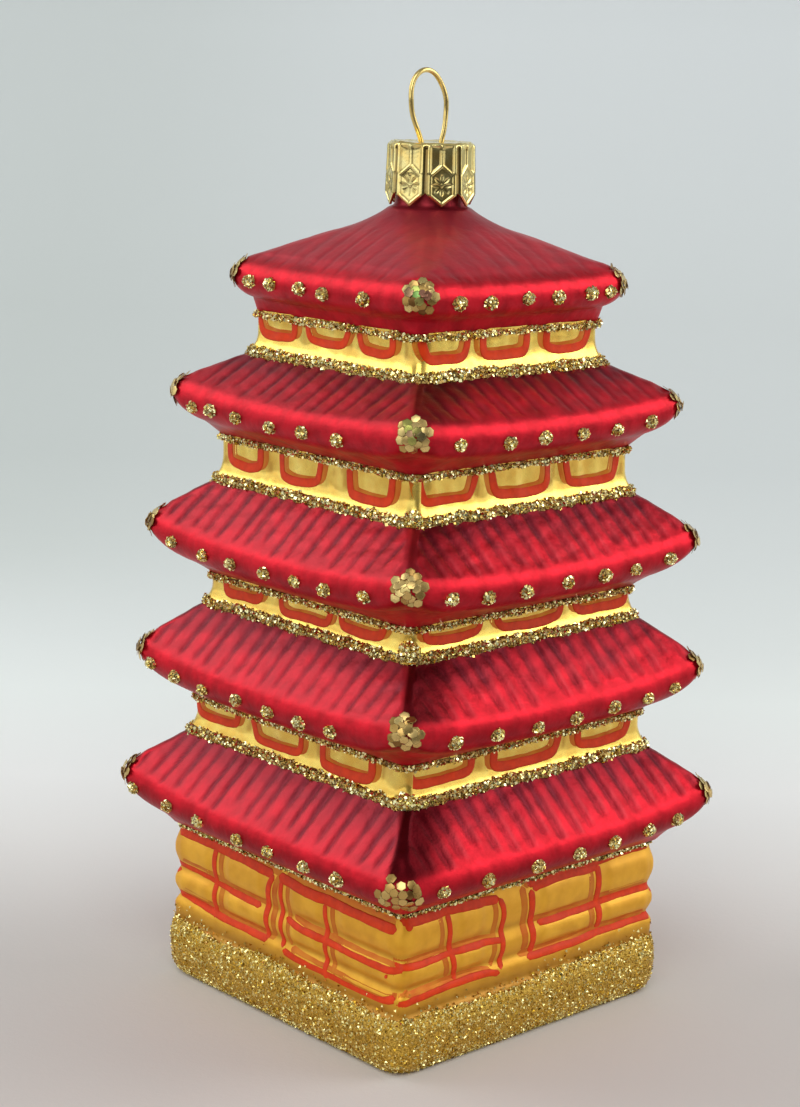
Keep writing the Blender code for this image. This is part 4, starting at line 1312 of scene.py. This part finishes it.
def add_room():
    """The room round the ornament, brighter low down and dark in front."""
    world = bpy.data.worlds.new("soft_room")
    world.use_nodes = True
    room = Tree(world.node_tree)
    towards = room.node("ShaderNodeTexCoord", output="Generated")
    height = room.node("ShaderNodeSeparateXYZ", None, {0: towards}, output="Z")
    tint = room.node("ShaderNodeValToRGB", {"stops": (
        (0.03, (1.25, 1.27, 1.26)), (0.22, (0.87, 0.91, 0.92)),
        (0.60, (0.34, 0.35, 0.36)))}, {"Fac": height})
    front = room.node("ShaderNodeVectorMath", {"operation": "DOT_PRODUCT"},
                      {0: towards, 1: (0.98, -0.19, 0.0)}, output="Value")
    tint = room.mix(tint, (0.10, 0.10, 0.09), room.span(front, 0.76, 0.94))
    room.feed(room.nodes["Background"].inputs["Color"], tint)
    bpy.context.scene.world = world
    bpy.context.scene.view_settings.view_transform = "Standard"


# The viewpoint: azimuth and elevation, distance from a point this high on the ornament's axis, and
# how far the camera turns across, tips and rolls from looking straight at it, in degrees
VIEW_ANGLES, VIEW_DISTANCE, AIM_HEIGHT = (47.183, 12.513), 373.31, 67.5
AIM_ACROSS, AIM_UP, ROLL = 0.508, -0.512, -1.341
# Width of the camera's sensor, and its focal length as a multiple of the picture's height
SENSOR, FOCAL_SHARE = 36, 2367.3 / 1107


def add_camera():
    """The photograph's viewpoint, found from the ornament's own edges."""
    roll = math.radians(ROLL)
    back = direction(*VIEW_ANGLES)
    azimuth = math.radians(VIEW_ANGLES[0])
    right = Vector((math.cos(azimuth), math.sin(azimuth), 0))
    spot = Vector((0, 0, AIM_HEIGHT)) + back * VIEW_DISTANCE
    back_way = (back + right * math.tan(math.radians(AIM_ACROSS))
                + back.cross(right) * math.tan(math.radians(AIM_UP))).normalized()
    right_way = Vector((0, 0, 1)).cross(back_way).normalized()
    up_way = back_way.cross(right_way)
    across = right_way * math.cos(roll) - up_way * math.sin(roll)
    upward = right_way * math.sin(roll) + up_way * math.cos(roll)
    camera = add_object("camera", bpy.data.cameras.new("camera"))
    camera.data.lens = SENSOR * FOCAL_SHARE
    camera.data.clip_start, camera.data.clip_end = 0.01, 20
    facing = Matrix((across, upward, back_way)).transposed().to_4x4()
    camera.matrix_world = Matrix.Translation(spot * MM) @ facing
    bpy.context.scene.camera = camera


def main():
    add_camera()
    add_lights()
    add_room()
    make_studio(studio_paper())
    red, enamel = roof_lacquer(), [orange_enamel(), painted_enamel_reflection()]
    roofs = [make_roof(level, red) for level in range(len(STOREYS))]
    upper = wall_lacquer("yellow_gold_lacquer", (2.4, 2.0), ((0.88, 0.54, 0.085), (0.96, 0.70, 0.14)),
                         (0.58, 0.30, 0.035), (0.21, 0.28), (1.9, 0.07),
                         Metallic=0.85, Coat_Weight=0.35, Coat_Roughness=0.10)
    ground = wall_lacquer("mustard_gold_lacquer", (3.0, 3.0), ((0.82, 0.39, 0.017), (0.95, 0.50, 0.031)),
                          (0.40, 0.17, 0.010), (0.40, 0.48), (2.4, 0.06),
                          Metallic=0.5, Coat_Weight=0.12, Coat_Roughness=0.25)
    for level in range(len(STOREYS)):
        make_wall(level, upper if level else ground)
        make_strokes(level, enamel)
    coarse = [glitter_bed("coarse_glitter_glue", (0.06, 0.022, 0.004), (0.60, 0.40, 0.12), 0.30, 0.12),
              glitter_flake("coarse_gold_flakes", (0.66, 0.44, 0.11), (1.0, 0.95, 0.52), 0.15)]
    fine = [glitter_bed("fine_glitter_glue", (0.34, 0.19, 0.02), (0.86, 0.56, 0.10), 0.24, 0.08),
            glitter_flake("fine_gold_flakes", (0.42, 0.25, 0.020), (1.0, 0.88, 0.38), 0.22)]
    make_bands(coarse)
    make_base_glitter(fine)
    make_beads(roofs, coarse)
    film = sequin_film()
    for level, roof in enumerate(roofs):
        for corner in range(4):
            make_cluster(level, corner, roof, film)
    make_cap(cap_brass())
    make_hanger(wire_brass())


main()
